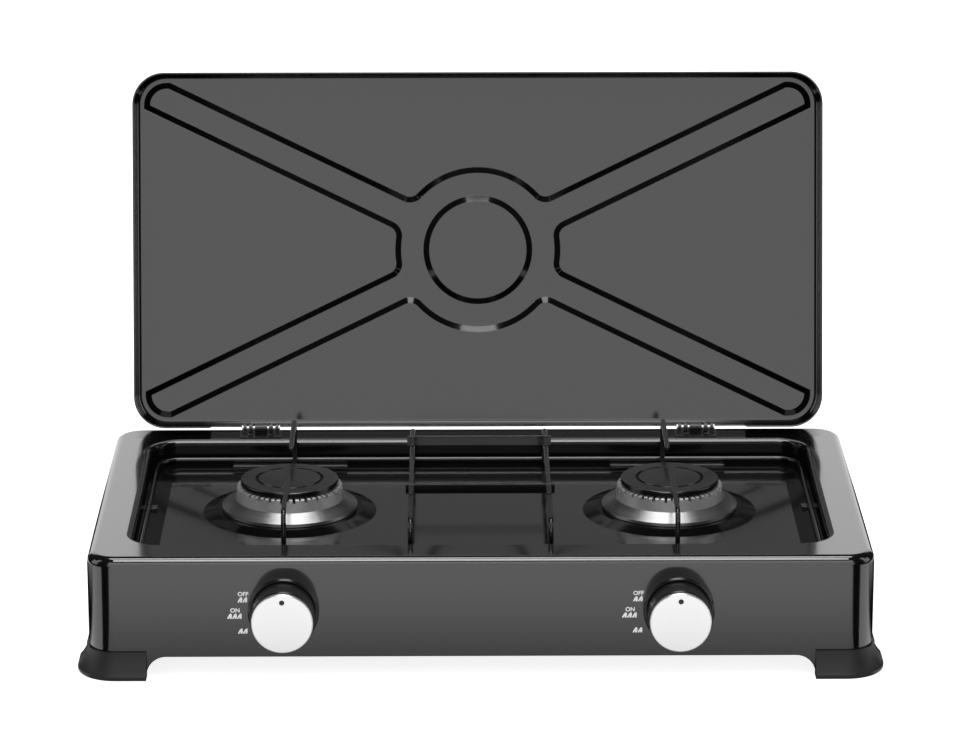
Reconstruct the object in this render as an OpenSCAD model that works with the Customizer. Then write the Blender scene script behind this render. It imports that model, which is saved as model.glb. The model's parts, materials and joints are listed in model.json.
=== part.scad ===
// Table-top gas hob with two burners, a wire pan support and a hinged lid, standing with its lid open.
// Millimetres. X runs to the right, Y to the rear and Z up from the table.

/* [Body] */
// Width of the pressed steel body, without the feet
body_w = 500; // [480:1:580]
// Depth of the body from front face to rear face
body_d = 280; // [272:1:330]
// Height of the rim above the table
rim_z = 79.5; // [77:0.5:90]
// Height of the skirt's lower edge above the table
skirt_z = 14; // [11:0.5:16]
// Thickness of the pressed sheet of body and lid
sheet = 1; // [0.8:0.1:1.2]
// Radius of the body's upright corners
corner_r = 18; // [14:1:22]
// Radius of the edge between rim and skirt
edge_r = 6; // [3:0.5:8]

/* [Well] */
// Distance from the body's side to the wall of the well
side_rim = 27; // [24:0.5:32]
// Distance from the body's front or rear face to the wall of the well
end_rim = 31; // [29:0.5:34]
// Radius of the edge between rim and well
lip_r = 4; // [2.5:0.5:5]
// Plan radius of the well's corners
well_corner_r = 20; // [18:1:26]
// Depth of the well's floor below the rim
well_depth = 16.2; // [15:0.2:19]
// Width of the sloping band between wall and floor
band_run = 15; // [10:0.5:16]
// Rise of the sloping band from floor to wall
band_rise = 2.2; // [1.2:0.1:2.4]
// Height of the pressed lands above the floor
land_rise = 2.7; // [2.5:0.1:3.4]
// Length of the lands in front of and behind each burner
land_l = 78; // [60:1:90]
// Reach of those lands from the wall
land_d = 20; // [17:0.5:24]
// Distance of the rear lands' middle outside the burner's middle
land_out = 3; // [0:0.5:6]
// Length of the small lands on the side walls
side_land_l = 8; // [6:0.5:16]
// Reach of the small lands from the wall
side_land_d = 9; // [7:0.5:12]

/* [Feet] */
// Height of the feet
foot_h = 17.5; // [15:0.5:20]
// Thickness of the feet under the skirt
foot_base = 3; // [2:0.5:4]
// Straight length of a foot on each side of its corner
foot_run = 19.5; // [14:0.5:28]
// Thickness of a foot at its upper edge
foot_lip = 1.6; // [1.2:0.1:2.4]
// Spread of a foot past the body at the table
foot_flare = 7.6; // [5:0.2:10]
// Height of the foot's upright toe
foot_toe = 3; // [2.5:0.1:4]
// Radius of the toe's lower edge
toe_r = 1.8; // [0.8:0.1:2.2]
// Thickness of the wall behind the skirt
foot_wall = 2.4; // [1.6:0.1:3]
// Height of the wall behind the skirt
foot_wall_h = 12; // [8:0.5:14]
// Radius of the upper corners of the arches between the feet
arch_r = 12.5; // [6:0.5:14]

/* [Burners] */
// Distance of each burner from the hob's middle
burner_x = 126; // [118:0.5:132]
// Distance of the burners behind the body's middle
burner_y = 6; // [0:0.5:8]
// Radius of the pressed dish round a burner
dish_r = 57.5; // [52:0.5:62]
// Radius of the dish's flat top
dish_top_r = 48.5; // [46:0.5:50]
// Height of the raised dish above the well's floor
dish_rise = 2.6; // [1.5:0.1:4]
// Outer radius of the mixing cup
cup_r = 27.6; // [26.8:0.1:28.4]
// Wall of the mixing cup and its tube
cup_wall = 2.2; // [1.6:0.1:2.6]
// Depth of the cup below the dish
cup_drop = 29.9; // [29.4:0.1:33.6]
// Height of the cup above the dish
cup_rise = 4.1; // [4:0.1:6]
// Radius of the cup's flange on the dish
flange_r = 41; // [39.5:0.2:42]
// Thickness of the flange
flange_t = 1.5; // [1:0.1:1.8]
// Radius of the screw circle in the flange
flange_screw_r = 35; // [33.5:0.1:36]
// Diameter of the flange screws
flange_screw_d = 4; // [3:0.1:4.4]
// Outer radius of the mixing tube
tube_r = 9; // [7:0.2:9.5]
// Radius of the tube's trumpet mouth
mouth_r = 11.5; // [10:0.2:12]
// Length of the trumpet mouth
mouth_l = 7; // [4:0.5:10]
// Outer radius of the conical trim ring
trim_r = 44.8; // [43.8:0.1:46]
// Height of the trim ring's upright lip
trim_lip = 2; // [1:0.1:2.2]
// Height of the lip's upper edge above the dish
trim_edge_h = 2.4; // [2.2:0.1:4]
// Height of the trim ring
trim_h = 7.2; // [6.2:0.1:9]
// Thickness of the trim ring
trim_t = 1.2; // [0.8:0.1:1.5]
// Outer radius of the toothed crown at its top
crown_r = 34.8; // [34:0.1:36]
// Flare of the crown towards its foot
crown_flare = 0.8; // [0.2:0.1:1.2]
// Height of the crown
crown_h = 11.7; // [11:0.1:15]
// Thickness of the crown's toothed wall
crown_wall = 9.2; // [8:0.1:10]
// Thickness of the crown's base
crown_base = 2.5; // [2:0.1:4]
// Length of the spigot that centres the crown in the cup
spigot_h = 4; // [2:0.2:6]
// Number of flame ports in the crown
port_count = 27; // [20:1:32]
// Width of a flame port
port_w = 2; // [1:0.1:2.2]
// Depth of a flame port
port_d = 2.8; // [2:0.1:5]
// Width of the pilot ports between the flame ports
pilot_w = 1.4; // [0.8:0.1:1.6]
// Depth of the pilot ports
pilot_d = 1.3; // [0.8:0.1:2]
// Radius of the burner cap
cap_r = 32.5; // [31.2:0.1:33.4]
// Thickness of the cap at its edge
cap_t = 4.2; // [2.2:0.1:5]
// Rise of the cap towards its middle
cap_dome = 0.5; // [0.1:0.1:1.5]
// Radius of the cap's rounded edge
cap_edge_r = 1; // [0.5:0.1:1.5]
// Depth of the ring that centres the cap in the crown
cap_ring_h = 1.1; // [0.8:0.1:3]
// Radius of the groove in the cap
groove_r = 21.5; // [14:0.5:25]
// Width of the groove
groove_w = 2; // [0.6:0.1:2.4]
// Depth of the groove
groove_d = 0.9; // [0.3:0.1:1.2]

/* [Pan support] */
// Diameter of the support's wire
wire_d = 3.3; // [2.6:0.1:3.6]
// Distance of the ring wire from the side walls of the well
ring_side_gap = 3.5; // [2.5:0.1:5]
// Distance of the ring wire from the front and rear walls of the well
ring_end_gap = 5; // [4:0.1:7]
// Plan radius of the ring's corners
ring_corner_r = 16; // [14:0.5:22]
// Height of the fingers above the ring wire
finger_rise = 29.3; // [27:0.1:30.5]
// Distance from the burner's middle to a finger's tip
finger_reach = 28; // [20:0.5:34]
// Radius of the bends in the wire
bend_r = 6; // [4:0.5:9]
// Distance of each centre wire from the hob's middle
centre_x = 45; // [36:0.5:56]
// Drop of the centre wires below the fingers
centre_drop = 6.5; // [5:0.1:9]
// Distance between the two cross strips
strip_gap = 105; // [80:1:130]
// Reach of a cross strip past the centre wire
strip_over = 3.5; // [2:0.5:10]
// Thickness of a cross strip
strip_t = 1.6; // [1:0.1:2.5]

/* [Lid] */
// Distance from the body's side to the lid's side
lid_side = 12.5; // [10:0.5:16]
// Distance from the body's front face to the front of the closed lid
lid_front = 21; // [16:0.5:24]
// Height of the lid from skirt edge to panel
lid_h = 23.5; // [23:0.5:30]
// Radius of the lid's upright corners
lid_corner_r = 22; // [16:1:30]
// Radius of the edge between panel and skirt
lid_edge_r = 5; // [3:0.5:5.5]
// Gap between the closed lid and the rim
lid_gap = 0.5; // [0.4:0.1:1.5]
// Angle from closed lid to open lid
open_angle = 104; // [95:1:105]
// Length of full skirt left at each end of the lid's rear side
rear_skirt_l = 52.5; // [40:0.5:64]
// Depth of skirt left between those ends
rear_skirt_h = 10; // [9.5:0.1:11]
// Width of the pressed bands that run to the corners
press_w = 24; // [18:0.5:28]
// Depth of the pressed bands and ring
press_depth = 2.5; // [1:0.1:3]
// Run of the pressing's sloping sides
press_slope = 4; // [2:0.1:5]
// Outer radius of the pressed ring
press_ring_out = 57.3; // [50:0.1:64]
// Inner radius of the pressed ring
press_ring_in = 33.8; // [28:0.1:36]
// Radius of the corners between the bands and the ring
press_round = 7; // [4:0.1:10]
// Distance from both sides of a corner to the point that a band runs to
press_aim = 15.4; // [10:0.1:22]
// Flat margin between a band's end and the lid's rounded edge
press_margin = 1.5; // [1.2:0.1:3]

/* [Hinges] */
// Distance of each hinge from the body's side
hinge_x = 100; // [85:1:150]
// Distance of the hinge line in front of the body's rear face
hinge_inset = 14; // [13.5:0.1:15]
// Height of the hinge line above the rim
hinge_rise = 4; // [3.8:0.1:5]
// Diameter of the hinge pin
pin_d = 3; // [2:0.1:3.2]
// Length of the lid's knuckle
knuckle_l = 8.4; // [8:0.1:12]
// Outer radius of the lid's knuckle
knuckle_r = 2.5; // [2.2:0.1:2.6]
// Play between the knuckle and the ears beside it
ear_play = 1.4; // [0.4:0.1:2]
// Width of an ear of the hinge base beside the knuckle
ear_w = 2.6; // [2:0.1:4]
// Gap between the two ears on each side of the knuckle
ear_gap = 1.8; // [1:0.1:3]
// Width of an outer ear
outer_ear_w = 2; // [1.2:0.1:3]
// Radius of an ear's rounded top
ear_r = 3.2; // [2.6:0.1:3.6]
// Thickness of the hinge base's plate
plate_t = 1; // [0.8:0.1:1.1]
// Reach of the plate in front of the hinge line
plate_front = 11; // [10.6:0.1:11.5]
// Reach of the plate behind the hinge line
plate_back = 5; // [4:0.1:6]
// Reach of the plate past the outer ears
plate_side = 2.5; // [1:0.1:4]
// Thickness of the lid's hinge leaf
leaf_t = 1.2; // [0.8:0.1:1.4]
// Length of the leaf along the lid's rear skirt
leaf_l = 26; // [22:0.5:34]
// Diameter of the rivets
rivet_d = 2.4; // [1.6:0.1:2.6]
// Height of a rivet's head
rivet_head_h = 0.9; // [0.5:0.1:1]

/* [Knobs] */
// Distance of each knob from the hob's middle
tap_x = 125; // [110:0.5:132]
// Height of the knobs' axes above the table
tap_z = 45.5; // [45:0.1:47]
// Outer radius of the bezel on the front panel
bezel_r = 22.5; // [21.9:0.1:25]
// Height of the bezel
bezel_h = 6; // [5.9:0.1:8]
// Thickness of the bezel's floor
bezel_floor = 2; // [1.2:0.1:2.1]
// Radius of the bezel's boss in the panel
boss_r = 7; // [6:0.1:9]
// Length of the boss behind the panel's outer face
boss_l = 3; // [2:0.1:3.4]
// Radius of the knob's barrel
knob_r = 20.2; // [19.8:0.1:20.6]
// Length of the knob's barrel
knob_l = 18.6; // [17:0.1:22]
// Wall of the knob's barrel
knob_wall = 2; // [1.5:0.1:3]
// Thickness of the knob's front wall
knob_front_t = 3.4; // [3:0.1:4.4]
// Radius of the knob's hub
hub_r = 6; // [5:0.1:8]
// Radius of the bright knob face
face_r = 19.4; // [18:0.1:19.8]
// Thickness of the knob face
face_t = 2.5; // [1.5:0.1:3.5]
// Distance of the dot from the knob's axis
dot_y = 14; // [10:0.1:16]
// Radius of the dot
dot_r = 1.7; // [1:0.1:2.4]
// Depth of the dot
dot_depth = 0.6; // [0.3:0.1:1]
// Radius of the peg that holds the knob face
peg_r = 3; // [2:0.1:4]
// Length of the peg
peg_l = 2; // [1:0.1:2.2]
// Travel of the knob when it is pushed in
push = 3; // [2:0.1:3.4]

/* [Taps] */
// Distance of the tap's front face behind the panel's outer face
tap_setback = 9.5; // [8.5:0.1:11]
// Length of the tap's body
tap_l = 32.5; // [31.5:0.1:36]
// Radius of the tap's body
tap_r = 9.5; // [8:0.1:10.5]
// Radius of the tap's bore
bore_r = 5; // [4.6:0.1:5.5]
// Depth of the tap's bore
bore_l = 26.5; // [25.5:0.1:27]
// Length of the tap's plug
plug_l = 12; // [10:0.1:12.4]
// Radius of the gas passages
gas_r = 1.5; // [1:0.1:1.8]
// Length of the gland nut's spigot in the bore
gland_l = 4; // [3:0.1:4.5]
// Thickness of the gland nut's hexagon
gland_t = 2.8; // [2:0.1:3.2]
// Corner radius of the gland nut's hexagon
gland_hex_r = 8; // [7:0.1:9.5]
// Diameter of the spindle
spindle_d = 6; // [5:0.1:6.4]
// Reach of the spindle past the panel's outer face
spindle_out = 18; // [16:0.1:18.8]
// Depth of the flat on the spindle's end
flat_depth = 1; // [0.5:0.1:1.5]
// Thickness of the spindle's collar
collar_t = 1.5; // [1:0.1:2]
// Radius of the spindle's tail inside the spring
tail_r = 2.2; // [1.8:0.1:2.4]
// Thickness of the spindle's driving blade
blade_t = 1.6; // [1:0.1:2]
// Reach of the blade into the plug's slot
blade_l = 5; // [3:0.1:5.4]
// Depth of the plug's slot
slot_l = 9; // [8.8:0.1:9.8]
// Diameter of the spring wire
spring_wire_d = 0.7; // [0.5:0.1:0.8]
// Mean radius of the spring
spring_r = 3.4; // [3:0.1:3.8]
// Number of curls of the spring
spring_turns = 3.5; // [2.5:0.5:4.5]
// Length of the jet outside the tap
jet_l = 10; // [7:0.1:11]
// Length of the jet's stem in the tap
jet_stem_l = 4; // [3:0.1:5]
// Radius of the jet's stem
jet_stem_r = 3; // [2.4:0.1:3.6]
// Corner radius of the jet's hexagon
jet_hex_r = 5; // [4:0.1:6]
// Distance from the jet's tip to the mixing tube's mouth
jet_gap = 4; // [2:0.1:6]

/* [Gas rail] */
// Outer diameter of the gas rail
rail_d = 10; // [8:0.1:10.6]
// Wall of the gas rail
rail_wall = 1.2; // [0.8:0.1:1.6]
// Distance of the rail behind the body's front face
rail_setback = 28; // [27.5:0.1:28.5]
// Drop of the rail below the taps
rail_drop = 17; // [16:0.1:19]
// Length of rail past the left tap
rail_end = 18; // [12:0.5:24]
// Distance of the supply pipe from the body's right side
supply_x = 65; // [52:0.5:78]
// Radius of the rail's bend
elbow_r = 15; // [12:0.5:24]
// Width of a tap's saddle on the rail
saddle_w = 14; // [11:0.5:16]
// Length of the saddle and its clamp across the rail
saddle_l = 27; // [26:0.1:27.2]
// Thickness of the clamp under the rail
clamp_t = 2.8; // [2:0.1:4]
// Gap between saddle and clamp
clamp_gap = 1; // [0.5:0.1:1.5]
// Diameter of the clamp screws
clamp_screw_d = 4; // [3:0.1:4.2]
// Distance of the clamp screws from the rail's axis
clamp_screw_y = 9.5; // [9:0.1:9.8]
// Depth of the clamp screws in the saddle
clamp_screw_l = 9; // [6:0.1:9.5]
// Distance of each rail bracket from the hob's middle
bracket_x = 60; // [40:1:90]
// Width of a rail bracket
bracket_w = 12; // [8:0.5:18]
// Thickness of a rail bracket
bracket_t = 2; // [1.2:0.1:3]
// Height of the bracket's plate on the panel
bracket_plate_h = 22; // [14:0.5:24]
// Radius of the hose nozzle's tail
nozzle_r = 4.75; // [4:0.05:5.5]
// Length of the hose nozzle's tail
nozzle_l = 22; // [16:0.5:30]
// Radius of the nozzle's bore
nozzle_bore_r = 3; // [2:0.1:3.2]
// Radius of the nozzle's flange
nozzle_flange_r = 8; // [7.5:0.1:10]
// Thickness of the nozzle's flange
nozzle_flange_t = 3; // [2:0.1:5]
// Radius of the nozzle's stem in the body
stem_r = 6.4; // [6.3:0.1:7]
// Length of the nozzle's stem behind the rear face
stem_l = 14; // [12:0.5:18]
// Depth of the socket that takes the supply pipe
socket_l = 6; // [4:0.1:8]
// Thickness of the inlet nut
nut_t = 5; // [3:0.1:6]
// Corner radius of the inlet nut
nut_hex_r = 10.5; // [8.5:0.1:12]
// Radius of the grip grooves' depth in the nozzle's tail
grip_depth = 0.4; // [0.2:0.1:0.8]
// Number of grip grooves
grip_count = 3; // [1:1:4]
// Width of a grip groove
grip_w = 1.2; // [0.6:0.1:2]

/* [Fits] */
// Radial clearance of parts that turn or slide in each other
run_fit = 0.05; // [0.02:0.01:0.08]
// Clearance of parts that are fixed together
seat_fit = 0.05; // [0.02:0.01:0.1]
// Clearance of parts that lift out or pass freely
loose_fit = 0.3; // [0.2:0.05:0.5]

/* [Hidden] */
$fn = 96;
black_enamel = "#2b2b2d";
black_plastic = "#1f1f20";
black_wire = "#262627";
steel = "#c9c9c9";
aluminium = "#b9b9ba";
brass = "#b08d57";
bright = "#f2f2f2";

// Levels and plan sizes of the well
well_w = body_w - 2 * side_rim;
well_d = body_d - 2 * end_rim;
floor_z = rim_z - well_depth;
band_z = floor_z + band_rise;
land_z = floor_z + land_rise;
arch_x = body_w / 2 - corner_r - foot_run;
arch_y = body_d / 2 - corner_r - foot_run;

// Levels of the burner
dish_z = floor_z + dish_rise;
cup_z = dish_z - cup_drop;
cup_top_z = dish_z + cup_rise;
trim_foot_r = flange_r + loose_fit + trim_t;
crown_foot_r = crown_r + crown_flare;
crown_top_z = cup_top_z + crown_h;
crown_in_r = crown_r - crown_wall;
spigot_r = cup_r - cup_wall - loose_fit;
cap_top_z = crown_top_z + cap_t;
cap_ring_r = crown_in_r - loose_fit;
flange_head_r = flange_screw_d * 0.9;
flange_head_h = flange_screw_d * 0.55;

// Places of the wires
wire_r = wire_d / 2;
ring_w = well_w - 2 * ring_side_gap;
ring_d = well_d - 2 * ring_end_gap;
ring_z = land_z + wire_r;
finger_z = ring_z + finger_rise;
leg_y = ring_d / 2 - wire_d - seat_fit;
centre_z = finger_z - centre_drop;
strip_z = centre_z + wire_r + seat_fit;
strip_h = finger_z + wire_r - strip_z;

// Places of hinge and closed lid
pivot_y = body_d / 2 - hinge_inset;
pivot_z = rim_z + hinge_rise;
lid_w = body_w - 2 * lid_side;
lid_d = body_d - hinge_inset - lid_front;
lid_y = pivot_y - lid_d / 2;
lid_z = rim_z + lid_gap;
lid_top_z = lid_z + lid_h;
notch_x = lid_w / 2 - rear_skirt_l;
notch_z = lid_top_z - rear_skirt_h;
press_angle = atan2(lid_d / 2 - press_aim, lid_w / 2 - press_aim);
press_grow = sheet * tan(atan2(press_depth, press_slope) / 2);
hinge_mid_x = body_w / 2 - hinge_x;
ear_x = knuckle_l / 2 + ear_play + ear_w / 2;
outer_ear_x = ear_x + ear_w / 2 + ear_gap + outer_ear_w / 2;
plate_w = 2 * outer_ear_x + outer_ear_w + 2 * plate_side;
pin_l = 2 * outer_ear_x + outer_ear_w + 2 * loose_fit;
pin_head_t = 0.8;
rivet_r = rivet_d / 2;
rivet_head_r = rivet_d * 0.85;
rivet_x = ear_x;
base_rivet_y = pivot_y - ear_r - loose_fit - (plate_front - ear_r - loose_fit) / 2;
leaf_rivet_z = notch_z + (rear_skirt_h - lid_edge_r) / 2;

// Places along a knob's axis, counted outwards from the panel's outer face
knob_back = bezel_floor + push + 2 * loose_fit;
knob_front = knob_back + knob_l;
bezel_bore_r = knob_r + 2 * loose_fit;
spindle_r = spindle_d / 2;
tap_back = -tap_setback - tap_l;
bore_back = -tap_setback - bore_l;
plug_back = bore_back + loose_fit;
plug_front = plug_back + plug_l;
collar_front = -tap_setback - gland_l - loose_fit;
collar_back = collar_front - collar_t;
collar_r = bore_r - loose_fit;
spring_end_gap = 0.1;
spring_l = collar_back - plug_front - 2 * spring_end_gap;
jet_tip = tap_back - jet_l;
mouth = jet_tip - jet_gap;

// Places of the gas rail
rail_r = rail_d / 2;
rail_y = -body_d / 2 + rail_setback;
rail_z = tap_z - rail_drop;
supply_mid_x = body_w / 2 - supply_x;
supply_end = body_d / 2 - stem_l + socket_l;
clamp_h = rail_r + clamp_t - clamp_gap / 2;
clamp_head_r = clamp_screw_d * 0.85;
clamp_head_h = clamp_screw_d * 0.6;

// The hob stands with the middle of its plan, knobs and open lid included, over the origin
front_reach = body_d / 2 + knob_front + face_t;
press_reach = lid_edge_r + press_margin - press_grow + press_slope;
lid_corner_reach = reach_open(lid_edge_r, -lid_edge_r) + lid_edge_r;
lid_press_reach = reach_open(press_reach, press_depth);
rear_reach = pivot_y + max(lid_corner_reach, lid_press_reach);
mid_y = (rear_reach - front_reach) / 2;

// Distance behind the hinge line of a point of the open lid, given from its closed front edge and panel
function reach_open(from_front, above_top) =
  (from_front - lid_d) * cos(open_angle) + (lid_top_z + above_top - pivot_z) * sin(open_angle);

// Point on the spring's centreline, as a share of its length
function spring_point(share) =
  [spring_r * cos(360 * spring_turns * share), spring_r * sin(360 * spring_turns * share), spring_l * share];

// Shared places

module on_table() {
  translate([0, -mid_y, 0])
    children();
}

module at_burner(side) {
  translate([side * burner_x, burner_y, 0])
    children();
}

// Turns a shape so that its Z runs out of the front panel, on a knob's axis
module at_tap(side) {
  translate([side * tap_x, -body_d / 2, tap_z])
    rotate([90, 0, 0])
      children();
}

// Swings a shape drawn on the closed lid to the open lid
module lid_open() {
  translate([0, pivot_y, pivot_z])
    rotate([-open_angle, 0, 0])
      translate([0, -pivot_y, -pivot_z])
        children();
}

// Shared shapes

module round_rect(w, d, r) {
  square([w - 2 * r, d], center = true);
  square([w, d - 2 * r], center = true);
  for (sx = [-1, 1], sy = [-1, 1])
    translate([sx * (w / 2 - r), sy * (d / 2 - r)])
      circle(r);
}

// Sweeps a profile round a rounded rectangle: the profile's X points outwards, its Y up
module run_round(w, d, r) {
  for (turn = [0:3]) {
    reach = turn % 2 == 0 ? w / 2 : d / 2;
    along = turn % 2 == 0 ? d : w;
    rotate(90 * turn) {
      translate([reach, along / 2 - r, 0])
        rotate([90, 0, 0])
          linear_extrude(along - 2 * r)
            children();
      translate([reach - r, along / 2 - r, 0])
        rotate_extrude(angle = 90)
          translate([r, 0])
            children();
    }
  }
}

// Quarter of a sheet's bend, from +X round to +Y
module sheet_bend(r) {
  intersection() {
    difference() {
      circle(r);
      circle(r - sheet);
    }
    square(r);
  }
}

// Cylinder along X, centred
module bar_x(r, l) {
  rotate([0, 90, 0])
    cylinder(r = r, h = l, center = true);
}

// Quarter bend of wire, from upright at the origin to level along -Y
module wire_bend() {
  translate([0, -bend_r, 0])
    rotate([90, 0, 90])
      rotate_extrude(angle = 90)
        translate([bend_r, 0])
          circle(wire_r);
}

// Body

module skirt_profile() {
  translate([-sheet, foot_base])
    square([sheet, rim_z - edge_r - foot_base]);
  translate([-edge_r, rim_z - edge_r])
    sheet_bend(edge_r);
}

module well_profile() {
  translate([lip_r, rim_z - lip_r])
    rotate(90)
      sheet_bend(lip_r);
  translate([0, band_z])
    square([sheet, rim_z - lip_r - band_z]);
  polygon([
    [0, band_z], [-band_run, floor_z], [-band_run, floor_z - sheet],
    [0, band_z - sheet], [sheet, band_z - sheet], [sheet, band_z]
  ]);
}

module dish_profile() {
  hole_r = cup_r + loose_fit;
  polygon([
    [hole_r, dish_z], [dish_top_r, dish_z], [dish_r, floor_z],
    [dish_r, floor_z - sheet], [dish_top_r, dish_z - sheet], [hole_r, dish_z - sheet]
  ]);
}

module rim_plate() {
  translate([0, 0, rim_z - sheet])
    linear_extrude(sheet)
      difference() {
        round_rect(body_w - 2 * edge_r, body_d - 2 * edge_r, corner_r - edge_r);
        round_rect(well_w + 2 * lip_r, well_d + 2 * lip_r, well_corner_r + lip_r);
      }
}

module floor_plate() {
  translate([0, 0, floor_z - sheet])
    linear_extrude(sheet)
      difference() {
        round_rect(well_w - 2 * band_run, well_d - 2 * band_run, well_corner_r - band_run);
        for (side = [-1, 1])
          translate([side * burner_x, burner_y])
            circle(dish_r);
      }
}

// Pressed lands in front of, behind and beside the burners, which carry the ring wire; each reaches from
// the well's wall inwards, and the pockets under them are one sheet smaller
module lands(shrink, into_wall, bottom, top) {
  for (side = [-1, 1]) {
    for (end = [-1, 1])
      translate([side * (burner_x + (end > 0 ? land_out : 0)), end * well_d / 2, bottom])
        rotate(end > 0 ? 0 : 180)
          translate([shrink - land_l / 2, shrink - land_d, 0])
            cube([land_l - 2 * shrink, land_d - shrink + into_wall, top - bottom]);
    translate([side * well_w / 2, burner_y, bottom])
      rotate(-90 * side)
        translate([shrink - side_land_l / 2, shrink - side_land_d, 0])
          cube([side_land_l - 2 * shrink, side_land_d - shrink + into_wall, top - bottom]);
  }
}

module arch_shape(half) {
  bottom = -arch_r - 1;
  translate([-half, bottom])
    square([2 * half, skirt_z - arch_r - bottom]);
  translate([arch_r - half, bottom])
    square([2 * (half - arch_r), skirt_z - bottom]);
  for (s = [-1, 1])
    translate([s * (half - arch_r), skirt_z - arch_r])
      circle(arch_r);
}

module arches() {
  rotate([90, 0, 0])
    linear_extrude(2 * body_d, center = true)
      arch_shape(arch_x);
  rotate([90, 0, 90])
    linear_extrude(2 * body_w, center = true)
      arch_shape(arch_y);
}

module body_holes() {
  for (side = [-1, 1]) {
    at_tap(side)
      translate([0, 0, -2 * sheet])
        cylinder(r = boss_r + seat_fit, h = 3 * sheet);
    flange_screws(side, flange_screw_d / 2 + loose_fit);
    for (s = [-1, 1])
      translate([side * hinge_mid_x + s * rivet_x, base_rivet_y, rim_z - 2 * sheet])
        cylinder(r = rivet_r + seat_fit, h = 3 * sheet);
  }
  translate([supply_mid_x, body_d / 2 - 2 * sheet, rail_z])
    rotate([-90, 0, 0])
      cylinder(r = stem_r + seat_fit, h = 3 * sheet);
}

module body_shell() {
  color(black_enamel)
    difference() {
      union() {
        run_round(body_w, body_d, corner_r)
          skirt_profile();
        rim_plate();
        run_round(well_w, well_d, well_corner_r)
          well_profile();
        floor_plate();
        for (side = [-1, 1])
          at_burner(side)
            rotate_extrude()
              dish_profile();
        lands(0, sheet / 2, floor_z - sheet, land_z);
      }
      lands(sheet, 0, floor_z - 2 * sheet, land_z - sheet);
      arches();
      body_holes();
    }
}

// Feet

module foot_profile() {
  inner = sheet + seat_fit + foot_wall;
  spread = foot_flare - foot_lip;
  drop = foot_h - foot_toe;
  sweep_r = (spread * spread + drop * drop) / (2 * spread);
  difference() {
    union() {
      translate([-inner, 0])
        square([inner + foot_flare - toe_r, foot_h]);
      translate([-inner, toe_r])
        square([inner + foot_flare, foot_h - toe_r]);
      translate([foot_flare - toe_r, toe_r])
        circle(toe_r);
    }
    translate([foot_lip + sweep_r, foot_h])
      circle(sweep_r);
    translate([-sheet - seat_fit, foot_base])
      square([sheet + 2 * seat_fit, foot_h]);
    translate([-inner - 1, foot_wall_h])
      square([foot_wall + 2, foot_h]);
  }
}

module foot(sx, sy) {
  color(black_plastic)
    mirror([sx < 0 ? 1 : 0, 0, 0])
      mirror([0, sy < 0 ? 1 : 0, 0])
        translate([body_w / 2 - corner_r, body_d / 2 - corner_r, 0]) {
          rotate_extrude(angle = 90)
            translate([corner_r, 0])
              foot_profile();
          for (turn = [0, 1])
            rotate(90 * turn)
              translate([corner_r, turn * foot_run, 0])
                rotate([90, 0, 0])
                  linear_extrude(foot_run)
                    foot_profile();
        }
}

// Pan support

module pan_ring() {
  color(black_wire)
    run_round(ring_w, ring_d, ring_corner_r)
      translate([0, ring_z])
        circle(wire_r);
}

// Upright leg beside the ring wire, its bend at the given height and a level run inwards
module bent_wire(level, run) {
  translate([0, 0, land_z])
    cylinder(r = wire_r, h = level - bend_r - land_z);
  translate([0, 0, level - bend_r])
    wire_bend();
  translate([0, -bend_r, level])
    rotate([90, 0, 0])
      cylinder(r = wire_r, h = run);
}

module finger(side, end) {
  run = leg_y - end * burner_y - finger_reach - bend_r - wire_r;
  color(black_wire)
    translate([side * burner_x, end * leg_y, 0])
      rotate(end > 0 ? 0 : 180) {
        bent_wire(finger_z, run);
        translate([0, -bend_r - run, finger_z])
          sphere(wire_r);
      }
}

module centre_wire(side) {
  color(black_wire)
    for (end = [-1, 1])
      translate([side * centre_x, end * leg_y, 0])
        rotate(end > 0 ? 0 : 180)
          bent_wire(centre_z, leg_y - bend_r);
}

module cross_strip(end) {
  color(black_wire)
    translate([0, burner_y + end * strip_gap / 2, strip_z + strip_h / 2])
      cube([2 * (centre_x + strip_over), strip_t, strip_h], center = true);
}

// Burners

module flange_screws(side, r) {
  at_burner(side)
    for (s = [-1, 1])
      translate([s * flange_screw_r, 0, dish_z - 3 * sheet])
        cylinder(r = r, h = 3 * sheet + flange_t);
}

module burner_cup(side) {
  tube_x = side * (tap_x - burner_x);
  tube_l = burner_y + body_d / 2 + mouth;
  color(aluminium)
    difference() {
      at_burner(side)
        difference() {
          union() {
            translate([0, 0, cup_z])
              cylinder(r = cup_r, h = cup_top_z - cup_z);
            translate([0, 0, dish_z])
              cylinder(r = flange_r, h = flange_t);
            translate([tube_x, 0, tap_z])
              rotate([90, 0, 0])
                cylinder(r = tube_r, h = tube_l);
            translate([tube_x, mouth_l - tube_l, tap_z])
              rotate([90, 0, 0])
                cylinder(r1 = tube_r, r2 = mouth_r, h = mouth_l);
          }
          translate([0, 0, cup_z + cup_wall])
            cylinder(r = cup_r - cup_wall, h = cup_top_z - cup_z);
          translate([tube_x, 0, tap_z])
            rotate([90, 0, 0])
              cylinder(r = tube_r - cup_wall, h = tube_l + 1);
          translate([tube_x, mouth_l - tube_l, tap_z])
            rotate([90, 0, 0])
              cylinder(r1 = tube_r - cup_wall, r2 = mouth_r - cup_wall / 2, h = mouth_l + 0.01);
        }
      flange_screws(side, flange_screw_d / 2 + seat_fit);
    }
}

module burner_screws() {
  color(steel)
    for (side = [-1, 1]) {
      flange_screws(side, flange_screw_d / 2);
      at_burner(side)
        for (s = [-1, 1])
          translate([s * flange_screw_r, 0, dish_z + flange_t])
            cylinder(r = flange_head_r, h = flange_head_h);
    }
}

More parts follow.
